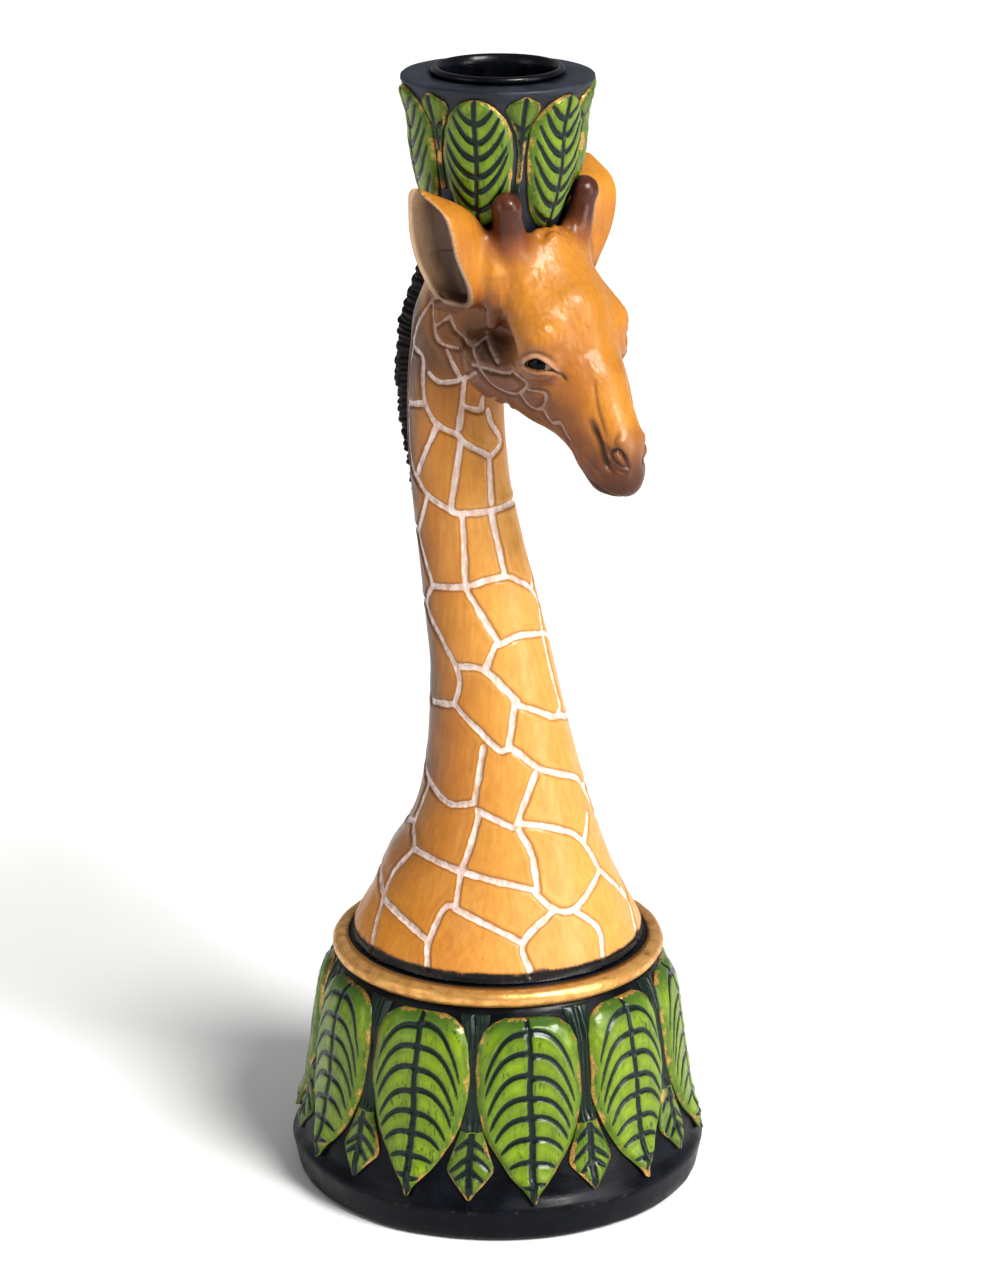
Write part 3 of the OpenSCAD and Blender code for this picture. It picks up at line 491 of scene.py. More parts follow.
    # neck: brown airbrushed along the mane and in from the grooves' back sides; the brown over the whole back half is
    # partly painted shade on the side turned from the light
    back = sstep(.22, -.60, cphi) * neckm
    c = mix(c, brown, back * (.62 + .25 * n2) * sstep(58, 84, Z))
    # painted light: paler on the front of the lower neck, the side the key light faces
    c = mix(c, (.78, .47, .16), .38 * neckm * sstep(.15, .85, cphi) * sstep(175, 150, Z))
    c = mix(c, umber, neckm * sstep(-.62, -.95, cphi) * sstep(120, 150, Z) * .7)
    c = mix(c, brown, neckm * (.24 + .12 * n3) * np.exp(-(np.maximum(D - .8, 0) / 1.3)**2) * sstep(.6, -.6, cphi))
    c = mix(c, brown, neckm * sstep(166, 188, Z) * .62 * (.8 + .5 * n2))
    # brown airbrush on the upper neck, deepened into painted shade under the jaw and ears
    c = mix(c, (.075, .025, .010), neckm * .86 * sstep(170, 190, Z) * sstep(.85, -.15, cphi) * (.85 + .3 * n2))
    c = mix(c, (.13, .050, .022), neckm * .55 * sstep(175, 187, Z) * (.85 + .5 * n3))
    # partly brown airbrush, partly painted shade: near-black down the back of the lower neck, the side turned from the
    # light
    c = mix(c, (.045, .015, .008), neckm * .88 * sstep(-.18, -.72, cphi) * sstep(62, 110, Z) * (.9 + .2 * n2))
    headm = 1 - neckm
    c = mix(c, (.048, .016, .008), .85 * headm * sstep(2, -5, S) * sstep(205, 199, Z) * (.9 + .2 * n2))
    c = mix(c, (.44, .190, .024), .62 * headm * (.8 + .5 * n1))
    c = mix(c, (.050, .017, .008), .84 * (.85 + .3 * n3) * np.exp(-(((S - 1.5) / 10.5)**2 + ((Q - 10) / 8.5)**2 + ((Z - 193.5) / 9.5)**2)**1.6))
    # darker brown on faces turned sideways and down: partly the head's brown paint, partly painted shade on faces
    # turned from the light
    c = mix(c, (.30, .100, .024), .55 * headm * sstep(.45, -.25, N2[:, 2]) * (.85 + .4 * n2))
    c = mix(c, (.33, .115, .028), .50 * headm * sstep(.1, .7, n2 + .5 * n1) * sstep(206, 200, Z))
    # cheek shadow behind the eye and under the ear
    c = mix(c, (.052, .017, .008), .93 * headm * np.exp(-(((S - 8.8) / 9.5)**2 + ((Q - 10.5) / 8.5)**2 + ((Z - 191.5) / 11.5)**2)**1.2))
    c = mix(c, (.070, .024, .010), .85 * headm * np.exp(-(((S - 15.5) / 9)**2 + ((Q - 9) / 6.5)**2 + ((Z - 183) / 7.5)**2)**1.2))
    # partly brown paint, partly painted shade on the sides of the head below the brow
    sidew = sstep(.30, -.45, N2[:, 2]) * sstep(198, 190, Z) * sstep(-2, 4, S)
    c = mix(c, (.245, .085, .030), .88 * headm * sidew * (.9 + .25 * n2))
    # painted shade on the down-facing underside of the jaw
    c = mix(c, (.13, .045, .020), .85 * headm * sstep(.05, -.7, N2[:, 2]) * (Z < 190))
    c = mix(c, (.17, .058, .020), .62 * headm * np.exp(-(((S - 27) / 8)**2 + ((Q - 7) / 5)**2 + ((Z - 176) / 8)**2)**1.5))
    # muzzle and lips
    ax = (S - 35) * .55 - (Z - 172) * .83
    c = mix(c, (.150, .050, .020), .92 * headm * sstep(-6.0, 1.2, ax + 1.4 * n2) * (S > 24))
    c = mix(c, (.070, .024, .013), .85 * headm * sstep(1.0, 6.5, ax + .9 * n3) * (S > 24))
    c = mix(c, (.5, .24, .09), .35 * headm * np.exp(-((S - 40)**2 + (Q - 2.2)**2 + (Z - 175)**2) / 9))
    # crown knob, horns
    c = mix(c, (.27, .085, .030), .85 * kn * (.7 + .6 * n3))
    hz = np.array(HORN_A); hb = np.array(HORN_B) - hz; tt = np.clip((pt - hz) @ hb / (hb @ hb), 0, 1.3)
    hd = np.linalg.norm(pt - hz - np.clip(tt, 0, 1)[:, None] * hb, axis=1)
    hm = sstep(5.6, 3.8, hd)
    hm2 = sstep(8.0, 4.0, hd)
    c = mix(c, (.22, .070, .024), hm2 * sstep(-.15, .40, tt + .10 * n2) * .85)
    c = mix(c, (.062, .017, .009), hm * sstep(.22, .72, tt + .1 * n2) * .94)
    c = mix(c, (.15, .05, .025), hm * sstep(.9, 1.25, tt) * .5 * sstep(-.1, .4, n3))
    # painted shade in the hollow between ear, horn and cup
    c = mix(c, umber, .9 * headm * np.exp(-(((S - 7.5) / 5)**2 + ((Q - 9.5) / 4.5)**2 + ((Z - 213.5) / 5)**2)**1.2))
    # painted shadow: near-black rim on the head around the candle cup's seat
    crr = np.sqrt(S * S + R * R) - cup_r(Z)
    c = mix(c, (.008, .008, .01), .95 * headm * (Z > 210) * sstep(2.4, 1.1, crr))
    # ears: cream inside, with painted shade towards the depth, brown along the bottom outside
    rs, rr_, fs, fr, dl, w = [np.interp(Z, ezt, t) for t in ET]
    te = np.clip((S - rs) / np.maximum(fs - rs, .3), 0, 1); rim = rr_ + (fr - rr_) * te
    cs = (rs + fs) / 2; hw = np.maximum((fs - rs) / 2, .4)
    inn = (np.abs((S - cs) / np.maximum(hw - w * .45, .2))**2.5 + np.abs((Q - rim) / np.maximum(rim - np.maximum(np.maximum(dl + w * .6, 11.6), sstep(209, 213, Z) * (cup_r(Z) + 1.6)), .3))**2.5)**(1 / 2.5)
    earm = (Q > 11.8) & (Z > 201.6) & (Q < rim + .9)
    inside = sstep(1.06, .96, inn) * earm
    deep = sstep(.2, 6.5, rim - Q)
    fwd = sstep(.15, .95, te)
    c = mix(c, (.70, .50, .33), inside * .97)
    shade = te * .62 + np.clip((rim - Q) / 8, 0, 1) * .60 + .06 * n2
    # painted shade: the ear's inside darkens with depth and towards the front
    c = mix(c, (.105, .056, .036), inside * .93 * sstep(.13, .52, shade))
    c = mix(c, (.055, .028, .018), inside * .85 * np.exp(-((te - .72) / .22)**2) * sstep(1.5, 6, rim - Q) * sstep(219, 207, Z))
    c = mix(c, (.70, .50, .33), earm * (1 - inside) * .55 * sstep(1.3, .2, rim - Q) * (N2[:, 1] * np.sign(R) > .5))
    c = mix(c, (.12, .045, .022), .75 * headm * (Q > 10.5) * sstep(208, 202, Z) * (Z > 198) * (S < 14))
    # eye: pale upper lid, cream corner, dark outline
    du, dv, rim_e, eh = eye_open(S, Q, Z)
    eyem = (Q > 7) & (np.abs(du) < 6) & (np.abs(dv) < 6)
    lidu = np.exp(-((dv - eh - .75) / .60)**2) * eyem * sstep(4.6, 3.6, np.abs(du))
    lidl = np.exp(-((dv + eh + .55) / .42)**2) * eyem * sstep(4.6, 3.4, np.abs(du + .3))
    c = mix(c, (.60, .37, .27), .70 * lidu); c = mix(c, (.48, .26, .15), .50 * lidl)
    c = mix(c, (.30, .13, .07), .45 * eyem * np.exp(-((np.abs(dv) - eh - 2.2) / .9)**2) * sstep(5.2, 3.0, np.abs(du)))
    c = mix(c, (.012, .008, .008), .96 * eyem * np.exp(-(rim_e / .24)**2) * (dv > 0) * sstep(4.2, 3.7, np.abs(du)))
    c = mix(c, (.03, .014, .010), .80 * eyem * np.exp(-(rim_e / .17)**2) * (dv < 0) * sstep(4.0, 3.4, np.abs(du)))
    inner_c = eyem * sstep(.05, -.20, rim_e)
    c = mix(c, (.62, .44, .30), .95 * inner_c)
    c = mix(c, (.008, .005, .005), .97 * inner_c * sstep(2.3, 1.9, np.abs(du + .9)))
    c = mix(c, (.10, .04, .03), .7 * inner_c * sstep(2.6, 3.2, du))
    c = mix(c, (.035, .016, .012), dark)
    band = sstep(.45, -.05, Z - 57.5 - .45 * vnoise(V, 5, 71) - .22 * vnoise(V, 1.6, 72))
    c = mix(c, (.006, .0055, .006), band)
    gs = np.clip((.42 + .58 * neckm) * (1 - band) * (1 - .22 * sstep(165, 185, Z)), 0, 1)
    return V, Fc, np.where(lo, gd + .27 * (1 - neckm) + .12 * neckm * sstep(168, 186, Z), 9), np.clip(c, 0, 1), N2, gs

def split(V, Fc, label):
    """cuts the quad mesh into labelled face sets, each with its open boundary edges"""
    out = {}
    for L in np.unique(label):
        F = Fc[label == L]
        e = np.concatenate([F[:, [0, 1]], F[:, [1, 2]], F[:, [2, 3]], F[:, [3, 0]]])
        key = e[:, 0].astype(np.int64) * len(V) + e[:, 1]; rev = e[:, 1].astype(np.int64) * len(V) + e[:, 0]
        bnd = e[~np.isin(key, rev)]
        out[L] = (F, bnd)
    return out

def build_body(mat):
    V, Fc, gd, col, N, gs = carve_and_paint()
    cen = V[Fc].mean(1); S, R, Z = cen.T; Q = np.abs(R)
    lab = np.zeros(len(Fc), int)                                       # neck
    lab[((S + 7) * .743 + (Z - 189.5) * .669) > 0] = 1                 # head
    ear = (lab == 1) & (Z > 201.0) & (S < 12.6) & (Q > 12.1)
    lab[ear & (R > 0)] = 2; lab[ear & (R < 0)] = 3
    hz = np.array(HORN_A); hb = np.array(HORN_B) - hz
    pq = np.stack([S, Q, Z], 1); t = (pq - hz) @ hb / (hb @ hb)
    hd = np.linalg.norm(pq - hz - np.clip(t, 0, 1)[:, None] * hb, axis=1)
    horn = (t > .42) & (hd < 4.6) & (Z > 214)
    lab[horn & (R > 0)] = 4; lab[horn & (R < 0)] = 5
    names = {0: ("neck_carved", "neck_paint", "neck"), 1: ("head_carved", "head_paint", "head"),
             2: ("ear_right_carved", "ear_paint", "ear_right"), 3: ("ear_left_carved", "ear_paint", "ear_left"),
             4: ("horn_right_carved", "horn_paint", "horn_right"), 5: ("horn_left_carved", "horn_paint", "horn_left")}
    for L, (F, bnd) in split(V, Fc, lab).items():
        used = np.unique(F); remap = np.full(len(V), -1); remap[used] = np.arange(len(used))
        P = V[used]; faces = remap[F[:, ::-1]].tolist(); nv = len(used)
        # cap each boundary loop with a fan
        nxt = {}
        for a, b in bnd: nxt.setdefault(int(a), []).append(int(b))
        extra = []; ec = []; eg = []; es = []
        while nxt:
            a0 = next(iter(nxt)); loop = [a0]; cur = a0
            while True:
                b = nxt[cur].pop()
                if not nxt[cur]: del nxt[cur]
                if b == a0 or len(loop) > 20000: break
                loop.append(b); cur = b
                if cur not in nxt: break
            if len(loop) < 3: continue
            ctr = V[loop].mean(0); extra.append(ctr); ec.append(col[loop].mean(0)); eg.append(9.0); es.append(1.0)
            ci = nv + len(extra) - 1
            for i in range(len(loop)):
                faces.append([int(remap[loop[i]]), int(remap[loop[(i + 1) % len(loop)]]), ci])
        if extra:
            P = np.vstack([P, extra]); cc = np.vstack([col[used], ec]); gg = np.concatenate([gd[used], eg]); ss = np.concatenate([gs[used], es])
            NN = np.vstack([N[used], np.tile([0, 0, 1.0], (len(extra), 1))])
        else: cc, gg, NN, ss = col[used], gd[used], N[used], gs[used]
        nm, slot, node = names[int(L)]
        ob = make_obj(nm, to_xyz(P), faces, {"gd": gg, "gs": ss}, mat=mat, repl=(node,), colour=cc)
        nn = np.stack([-NN[:, 1], -NN[:, 0], NN[:, 2]], 1)
        ob.data.normals_split_custom_set_from_vertices(nn.tolist())
        print("piece", nm, len(ob.data.polygons))

# ---------------------------------------------------------------- node materials
class Mat:
    def __init__(s, name):
        s.m = bpy.data.materials.new(name); s.m.use_nodes = True; s.t = s.m.node_tree; s.t.nodes.clear()
        s.o = s.t.nodes.new("ShaderNodeOutputMaterial"); s.b = s.t.nodes.new("ShaderNodeBsdfPrincipled")
        s.t.links.new(s.b.outputs[0], s.o.inputs[0]); s.tc = s.t.nodes.new("ShaderNodeTexCoord"); s.last = None
    def put(s, sock, v):
        if isinstance(v, bpy.types.NodeSocket): s.t.links.new(v, sock)
        elif isinstance(v, tuple) and len(v) == 3 and len(sock.default_value) == 4: sock.default_value = (*v, 1)
        else: sock.default_value = v
    def vec(s, sc):
        n = s.t.nodes.new("ShaderNodeMapping"); s.t.links.new(s.tc.outputs["Object"], n.inputs[0])
        n.inputs["Scale"].default_value = sc if isinstance(sc, tuple) else (sc, sc, sc); return n.outputs[0]
    def noise(s, sc, detail=3, rough=.55, dist=0.0):
        n = s.t.nodes.new("ShaderNodeTexNoise"); s.put(n.inputs["Vector"], s.vec(sc))
        n.inputs["Scale"].default_value = 1; n.inputs["Detail"].default_value = detail
        n.inputs["Roughness"].default_value = rough; n.inputs["Distortion"].default_value = dist
        return n.outputs["Fac"]
    def voro(s, sc, feature="F1"):
        n = s.t.nodes.new("ShaderNodeTexVoronoi"); n.feature = feature; s.put(n.inputs["Vector"], s.vec(sc))
        n.inputs["Scale"].default_value = 1; return n.outputs["Distance"]
    def attr(s, name, out="Fac"):
        n = s.t.nodes.new("ShaderNodeAttribute"); n.attribute_name = name; return n.outputs[out]
    def math(s, op, a, b=0.0, c=0.0, clamp=False):
        n = s.t.nodes.new("ShaderNodeMath"); n.operation = op; n.use_clamp = clamp
        s.put(n.inputs[0], a); s.put(n.inputs[1], b); s.put(n.inputs[2], c); return n.outputs[0]
    def ramp(s, x, a, b, lo=0.0, hi=1.0, smooth=True):
        n = s.t.nodes.new("ShaderNodeMapRange"); n.interpolation_type = "SMOOTHSTEP" if smooth else "LINEAR"; n.clamp = True
        s.put(n.inputs[0], x)
        if a > b: a, b, lo, hi = b, a, hi, lo
        for i, v in enumerate((a, b, lo, hi)): n.inputs[i + 1].default_value = v
        return n.outputs[0]
    def mix(s, f, a, b, blend="MIX"):
        n = s.t.nodes.new("ShaderNodeMix"); n.data_type = "RGBA"; n.blend_type = blend
        s.put(n.inputs[0], f); s.put(n.inputs[6], a); s.put(n.inputs[7], b); return n.outputs[2]
    def bump(s, h, mm, strength=1.0):
        n = s.t.nodes.new("ShaderNodeBump"); n.inputs["Distance"].default_value = mm * MM
        n.inputs["Strength"].default_value = strength; s.put(n.inputs["Height"], h)
        if s.last is not None: s.t.links.new(s.last, n.inputs["Normal"])
        s.last = n.outputs[0]
    def done(s, base, rough, coat=0.0, coat_rough=.1, metal=0.0, spec=.5, **kw):
        b = s.b.inputs; s.put(b["Base Color"], base); s.put(b["Roughness"], rough); s.put(b["Metallic"], metal)
        b["Coat Weight"].default_value = coat; b["Coat Roughness"].default_value = coat_rough
        b["Specular IOR Level"].default_value = spec
        for k, v in kw.items(): s.put(b[k.replace("_", " ")], v)
        if s.last is not None: s.t.links.new(s.last, b["Normal"])
        return s.m

def hide_paint(name, groove=True, gloss=.30):
    m = Mat(name); col = m.attr("paint", "Color")
    streak = m.noise((900, 900, 110), 3, .6); fine = m.noise(2600, 2, .5); broad = m.noise(120, 3, .5)
    blot = m.noise((420, 420, 260), 4, .6, .4)
    f1 = m.ramp(streak, .30, .70); f2 = m.ramp(blot, .40, .75); f3 = m.ramp(broad, .35, .65)
    c = m.mix(m.math("MULTIPLY", f1, .30), col, (.62, .50, .42), "MULTIPLY")
    c = m.mix(m.math("MULTIPLY", f2, .22), c, (.70, .55, .45), "MULTIPLY")
    c = m.mix(m.math("MULTIPLY", f3, .18), c, (1.25, 1.18, 1.1), "MULTIPLY")
    pit = m.ramp(m.voro(900), .07, .16, 1, 0); pitm = m.math("MULTIPLY", pit, m.ramp(m.noise(260, 2), .56, .66))
    c = m.mix(m.math("MULTIPLY", pitm, .65), c, (.12, .045, .022))
    if groove:
        gd = m.attr("gd"); e = m.math("ADD", gd, m.math("MULTIPLY", m.math("SUBTRACT", blot, .5), .55))
        line = m.ramp(e, .52, .76, 1, 0)
        thin = m.ramp(m.noise((700, 700, 500), 3), .30, .62, .55, 1)
        # dark rim beside the painted line: painted shade on the groove walls
        edge = m.math("MULTIPLY", m.ramp(e, .62, .82), m.ramp(e, 1.35, .85))
        c = m.mix(m.math("MULTIPLY", edge, .38), c, (.10, .035, .02))
        white = m.mix(m.ramp(streak, .35, .7), (.80, .70, .66), (.60, .47, .44))
        c = m.mix(m.math("MULTIPLY", m.math("MULTIPLY", line, thin), m.attr("gs")), c, white)
    m.bump(streak, .10, .5); m.bump(fine, .03, .35); m.bump(pitm, -.10, .5)
    r = m.math("ADD", m.math("MULTIPLY", m.math("ADD", f1, f3), .09), gloss)
    if groove: r = m.math("ADD", r, m.math("MULTIPLY", line, .18))
    return m.done(c, r, coat=.14, coat_rough=.15, spec=.30)

M_NECK = hide_paint("giraffe_paint_neck"); M_HEAD = hide_paint("giraffe_paint_head", gloss=.31)
M_EAR = hide_paint("giraffe_paint_ear", False, .33); M_HORN = hide_paint("horn_varnish", False, .20)

def leaf_mat(name, lit, deep):
    m = Mat(name); v = m.attr("vd"); ed = m.attr("ed"); tone_and_shade = m.attr("tone_and_shade")
    fleck = m.noise((1500, 1500, 330), 3, .65); patch = m.noise(170, 3, .5); tiny = m.noise(2400, 3, .6); mid = m.noise((620, 620, 260), 4, .6)
    c = m.mix(m.ramp(patch, .35, .68), lit, tuple(q * .74 for q in lit))
    c = m.mix(m.math("MULTIPLY", m.ramp(mid, .50, .68), .42), c, deep)
    fl = m.math("MULTIPLY", m.ramp(fleck, .575, .66), m.ramp(m.noise(110, 2), .40, .60, .2, 1))
    c = m.mix(m.math("MULTIPLY", fl, .85), c, (.012, .040, .018))
    c = m.mix(tone_and_shade, c, deep)
    # painted shade along the leaf margins, where the leaves tuck in
    c = m.mix(m.math("MULTIPLY", m.ramp(ed, 1.9, .35), .50), c, deep)
    vn = m.math("ADD", v, m.math("MULTIPLY", m.math("SUBTRACT", tiny, .5), .35))
    c = m.mix(m.math("MULTIPLY", m.ramp(v, 2.4, .3), .42), c, (.045, .115, .016))
    c = m.mix(m.ramp(vn, .42, .06), c, (.0030, .0100, .0085))
    e2 = m.math("ADD", ed, m.math("MULTIPLY", m.math("SUBTRACT", mid, .5), 3.2))
    gold = m.math("MULTIPLY", m.math("MULTIPLY", m.ramp(e2, .80, .20), m.ramp(ed, -.9, -.45)), m.ramp(m.noise(210, 3, .6), .44, .58)); gcol = m.mix(m.ramp(tiny, .35, .7), (.60, .37, .11), (.30, .17, .05))
    c = m.mix(gold, c, gcol)
    c = m.mix(m.ramp(ed, -.55, -1.0), c, (.008, .020, .018))
    m.bump(mid, .14, .5); m.bump(fleck, .06, .4); m.bump(tiny, .03, .35)
    r = m.ramp(patch, .3, .7, .26, .40)
    return m.done(c, r, coat=.22, coat_rough=.14, spec=.28, metal=m.math("MULTIPLY", gold, .6))
M_LEAF = leaf_mat("leaf_lime", (.240, .335, .009), (.030, .085, .013))
# darker copy of the lime leaf paint for the small leaves tucked between the large ones: painted shade
M_LEAF_SHADED = leaf_mat("leaf_lime_shaded", (.210, .300, .009), (.0035, .0135, .0085))

def black_mat(name, rough=.34, tint=(.0062, .0075, .013), spec=.4):
    m = Mat(name); brush = m.noise((300, 300, 1500), 3, .6); cloud = m.noise(130, 4, .55); fine = m.noise(2200, 2); scr = m.noise((260, 2600, 700), 3, .7)
    c = m.mix(m.ramp(cloud, .38, .68), tint, tuple(q * 2.6 for q in tint))
    c = m.mix(m.math("MULTIPLY", m.ramp(scr, .66, .74), .5), c, (.045, .052, .07))
    c = m.mix(m.math("MULTIPLY", m.ramp(m.attr("wear"), .55, 1.0), m.math("MULTIPLY", m.ramp(m.noise(500, 4), .54, .70), .35)), c, (.08, .068, .06))
    m.bump(brush, .10, .5); m.bump(cloud, .35, .5); m.bump(fine, .02, .4)
    return m.done(c, m.ramp(cloud, .3, .7, rough - .06, rough + .16), coat=.05, coat_rough=.2, spec=spec)
# the cup's black is lighter and bluer than the foot's: black paint plus a painted reflection of the bright surroundings
# on its upturned rim
M_BLACK = black_mat("black_paint_foot", .34, (.0016, .0021, .0042), .16); M_CUP = black_mat("black_paint_cup_painted_sheen", .50, (.011, .0145, .0225), .40); M_LINER = black_mat("black_enamel", .22, (.0016, .0020, .0040), .25)

def gold_mat():
    m = Mat("rubbed_gold"); ang = m.noise((260, 260, 1600), 4, .65); blot = m.noise(330, 4, .6); fine = m.noise(2800, 3, .6)
    c = m.mix(m.ramp(blot, .36, .66), (.80, .45, .150), (.56, .28, .080))
    c = m.mix(m.math("MULTIPLY", m.ramp(ang, .60, .74), .75), c, (.20, .095, .03))
    c = m.mix(m.math("MULTIPLY", m.ramp(fine, .66, .74), .55), c, (.80, .58, .28))
    m.bump(ang, .12, .6); m.bump(blot, .18, .5); m.bump(fine, .03, .4)
    return m.done(c, m.ramp(blot, .3, .7, .26, .46), metal=.70, coat=.12, coat_rough=.2)
M_GOLD = gold_mat()

def mane_mat():
    m = Mat("mane_paint"); st = m.noise((900, 500, 2400), 4, .65); cl = m.noise(240, 3); 
    c = m.mix(m.ramp(st, .46, .72), (.0040, .0017, .0016), (.024, .0088, .0070))
    c = m.mix(m.math("MULTIPLY", m.ramp(cl, .5, .7), .5), c, (.012, .0045, .004))
    m.bump(st, .16, .7); m.bump(m.noise(2600, 2), .03, .4)
    return m.done(c, m.ramp(cl, .3, .7, .36, .55), coat=.0, coat_rough=.22, spec=.13)
M_MANE = mane_mat()

def eye_mat():
    m = Mat("eye_gloss"); d = m.attr("iris"); n = m.noise(1500, 3, .6)
    c = m.mix(m.ramp(d, 1.15, 1.5), (.0009, .0009, .0010), (.0085, .0034, .0022))
    c = m.mix(m.ramp(d, 2.0, 2.2), c, (.46, .36, .27))
    c = m.mix(m.ramp(d, 2.9, 3.6), c, (.20, .10, .07))
    c = m.mix(m.math("MULTIPLY", m.ramp(n, .5, .7), .15), c, (.03, .016, .01))
    m.bump(n, .01, .2)
    return m.done(c, m.ramp(n, .3, .7, .05, .10), coat=.08, coat_rough=.03, spec=.13)
M_EYE = eye_mat()

def felt_mat():
    m = Mat("green_felt"); a = m.noise(1800, 4, .75); b = m.noise((3000, 700, 900), 3, .7)
    c = m.mix(m.ramp(a, .35, .65), (.012, .060, .030), (.030, .115, .062)); m.bump(a, .25, .8); m.bump(b, .15, .6)
    return m.done(c, m.ramp(b, .3, .7, .86, .98), spec=.15, Sheen_Weight=.4, Sheen_Roughness=.6)
def steel_mat():
    m = Mat("zinc_steel"); a = m.noise((200, 200, 4200), 3, .6); b = m.noise(500, 4)
    c = m.mix(m.ramp(b, .35, .7), (.56, .57, .59), (.36, .37, .39)); m.bump(a, .03, .5)
    return m.done(c, m.ramp(a, .3, .7, .26, .42), metal=1.0)
def beech_mat():
    m = Mat("beech_dowel"); a = m.noise((2200, 2200, 140), 4, .6); b = m.ramp(m.voro((1500, 1500, 260)), .05, .14, 1, 0)
    c = m.mix(m.ramp(a, .35, .7), (.62, .42, .24), (.44, .27, .135)); c = m.mix(m.math("MULTIPLY", b, .6), c, (.25, .13, .06))
    m.bump(a, .06, .5); return m.done(c, m.ramp(a, .3, .7, .5, .66))
M_FELT, M_STEEL, M_BEECH = felt_mat(), steel_mat(), beech_mat()

# ---------------------------------------------------------------- the carved animal
build_body(None)
for nm, mt in (("neck_carved", M_NECK), ("head_carved", M_HEAD), ("ear_right_carved", M_EAR), ("ear_left_carved", M_EAR),
               ("horn_right_carved", M_HORN), ("horn_left_carved", M_HORN)):
    if nm in bpy.data.objects: bpy.data.objects[nm].data.materials.append(mt)

# ---------------------------------------------------------------- mane
def build_mane():
    hz = [(146.5, .3), (150, 1.7), (153, 2.8), (158, 3.5), (162, 4.1), (167, 4.6), (171, 5.4), (176, 5.8), (184, 6.5),
          (192, 6.5), (198, 6.0), (203, 5.6), (208, 4.6), (211.8, 3.0)]
    step = .18
    z = np.arange(146.5, 211.8, step); n = len(z)
    s0, af, ab, b = neck_par(z); back = s0 - ab
    tz = np.gradient(z); ts = np.gradient(back); L = np.hypot(tz, ts); ns, nz = -tz / L, ts / L     # outward normal in the (s, z) plane
    h = np.interp(z, [q[0] for q in hz], [q[1] for q in hz])
    nu = 44; th = np.linspace(-.12, 1.12, nu + 1) * np.pi
    wid = np.interp(z, [146.5, 152, 175, 200, 211.8], [.8, 1.5, 2.2, 2.7, 2.2])
    u = np.cos(th)[None, :]; w = np.maximum(np.sin(th), -.3)[None, :]
    P0 = np.stack([np.repeat(z, nu + 1), np.tile(np.cos(th) * 3, n), np.tile(np.sin(th) * 3, n)], 1)
    warp = vnoise(P0 * [.45, 1, 1], 2.2, 52).reshape(n, nu + 1); warp2 = vnoise(P0, 1.1, 53).reshape(n, nu + 1)
    zc = z[:, None] / 2.7 + .55 * vnoise(np.stack([z, 0 * z, 0 * z], 1), 5.0, 51)[:, None] + .30 * u + .42 * warp
    fr = zc - np.floor(zc); saw = (1 - fr) * sstep(0, .16, fr)                     # overlapping locks, each one lapping the next below
    fine = np.abs(np.sin(z[:, None] * 2.35 + 1.9 * warp + 1.5 * u + .9 * w))**.75   # strands lying nearly level
    coarse = vnoise(np.stack([z / 2.6, 0 * z, 0 * z], 1), 1.0, 54)[:, None]
    grow = np.clip(h / 4.0, .10, 1)[:, None]
    amp = grow * (.85 * (saw - .38) * np.clip(w + .35, .2, 1) + (.62 - .34 * np.clip(w, 0, 1)) * (fine - .6) + .12 * warp2 + .28 * coarse * np.clip(w, 0, 1))
    out = h[:, None] * np.clip(w, 0, 1)**.62 + np.minimum(w, 0) * 3.0 - 1.2 * (w < .05) * 0 + amp * (w > -.1)
    rr = wid[:, None] * np.sign(u) * np.abs(u)**.8 * (1 + .12 * (1 - np.clip(w, 0, 1))) + amp * .7 * u
    out = out - .9 * (1 - np.clip(w * 3, 0, 1))
    sag = nz[:, None] * 0
    S = back[:, None] + ns[:, None] * out; Zz = z[:, None] + nz[:, None] * out + .10 * sag
    V = np.stack([S, rr * np.ones_like(S), Zz], 2).reshape(-1, 3)
    # the strands droop a little
    V[:, 2] -= (.35 * np.clip(w, 0, 1) * grow * h[:, None] / 3).reshape(-1)
    F = []
    for j in range(n - 1):
        a = j * (nu + 1)
        F += [[a + i, a + nu + 1 + i, a + nu + 2 + i, a + i + 1] for i in range(nu)]
        F.append([a + nu, a + nu + nu + 1, a + nu + 1, a])
    F.append(list(range(nu + 1))); F.append(list(range((n - 1) * (nu + 1), n * (nu + 1)))[::-1])
    ob = make_obj("mane_carved", to_xyz(V), F, mat=M_MANE, repl=("mane",))
    fix_normals(ob)

def fix_normals(ob):
    import bmesh
    bm = bmesh.new(); bm.from_mesh(ob.data); bmesh.ops.recalc_face_normals(bm, faces=bm.faces); bm.to_mesh(ob.data); bm.free(); ob.data.update()

build_mane()

# ---------------------------------------------------------------- leaves
FOOT_W = [[0, 0.3], [0.035, 1.0], [0.07, 2.1], [0.14, 4.7], [0.23, 7.2], [0.32, 9.2], [0.4, 10.5], [0.55, 11.6], [0.72, 11.5], [0.86, 10.9], [0.94, 9.4], [0.98, 7.2], [1, 5.0]]
FTIP_W = [[0, 0.25], [0.14, 2.7], [0.26, 4.9], [.30, 5.2], [0.34, 5.1], [0.42, 4.6], [0.55, 3.6], [0.7, 2.6], [1, 1.2]]
CUP_W = [[0, 0.6], [0.06, 3.0], [0.15, 4.9], [0.3, 6.5], [0.45, 7.4], [0.6, 7.9], [0.75, 7.6], [0.86, 6.3], [0.94, 4.3], [0.98, 2.5], [1, .7]]
CTIP_W = [[0, 0.4], [0.4, 1.1], [0.55, 1.9], [0.7, 3.1], [0.82, 3.8], [0.92, 2.5], [1, 0.4]]

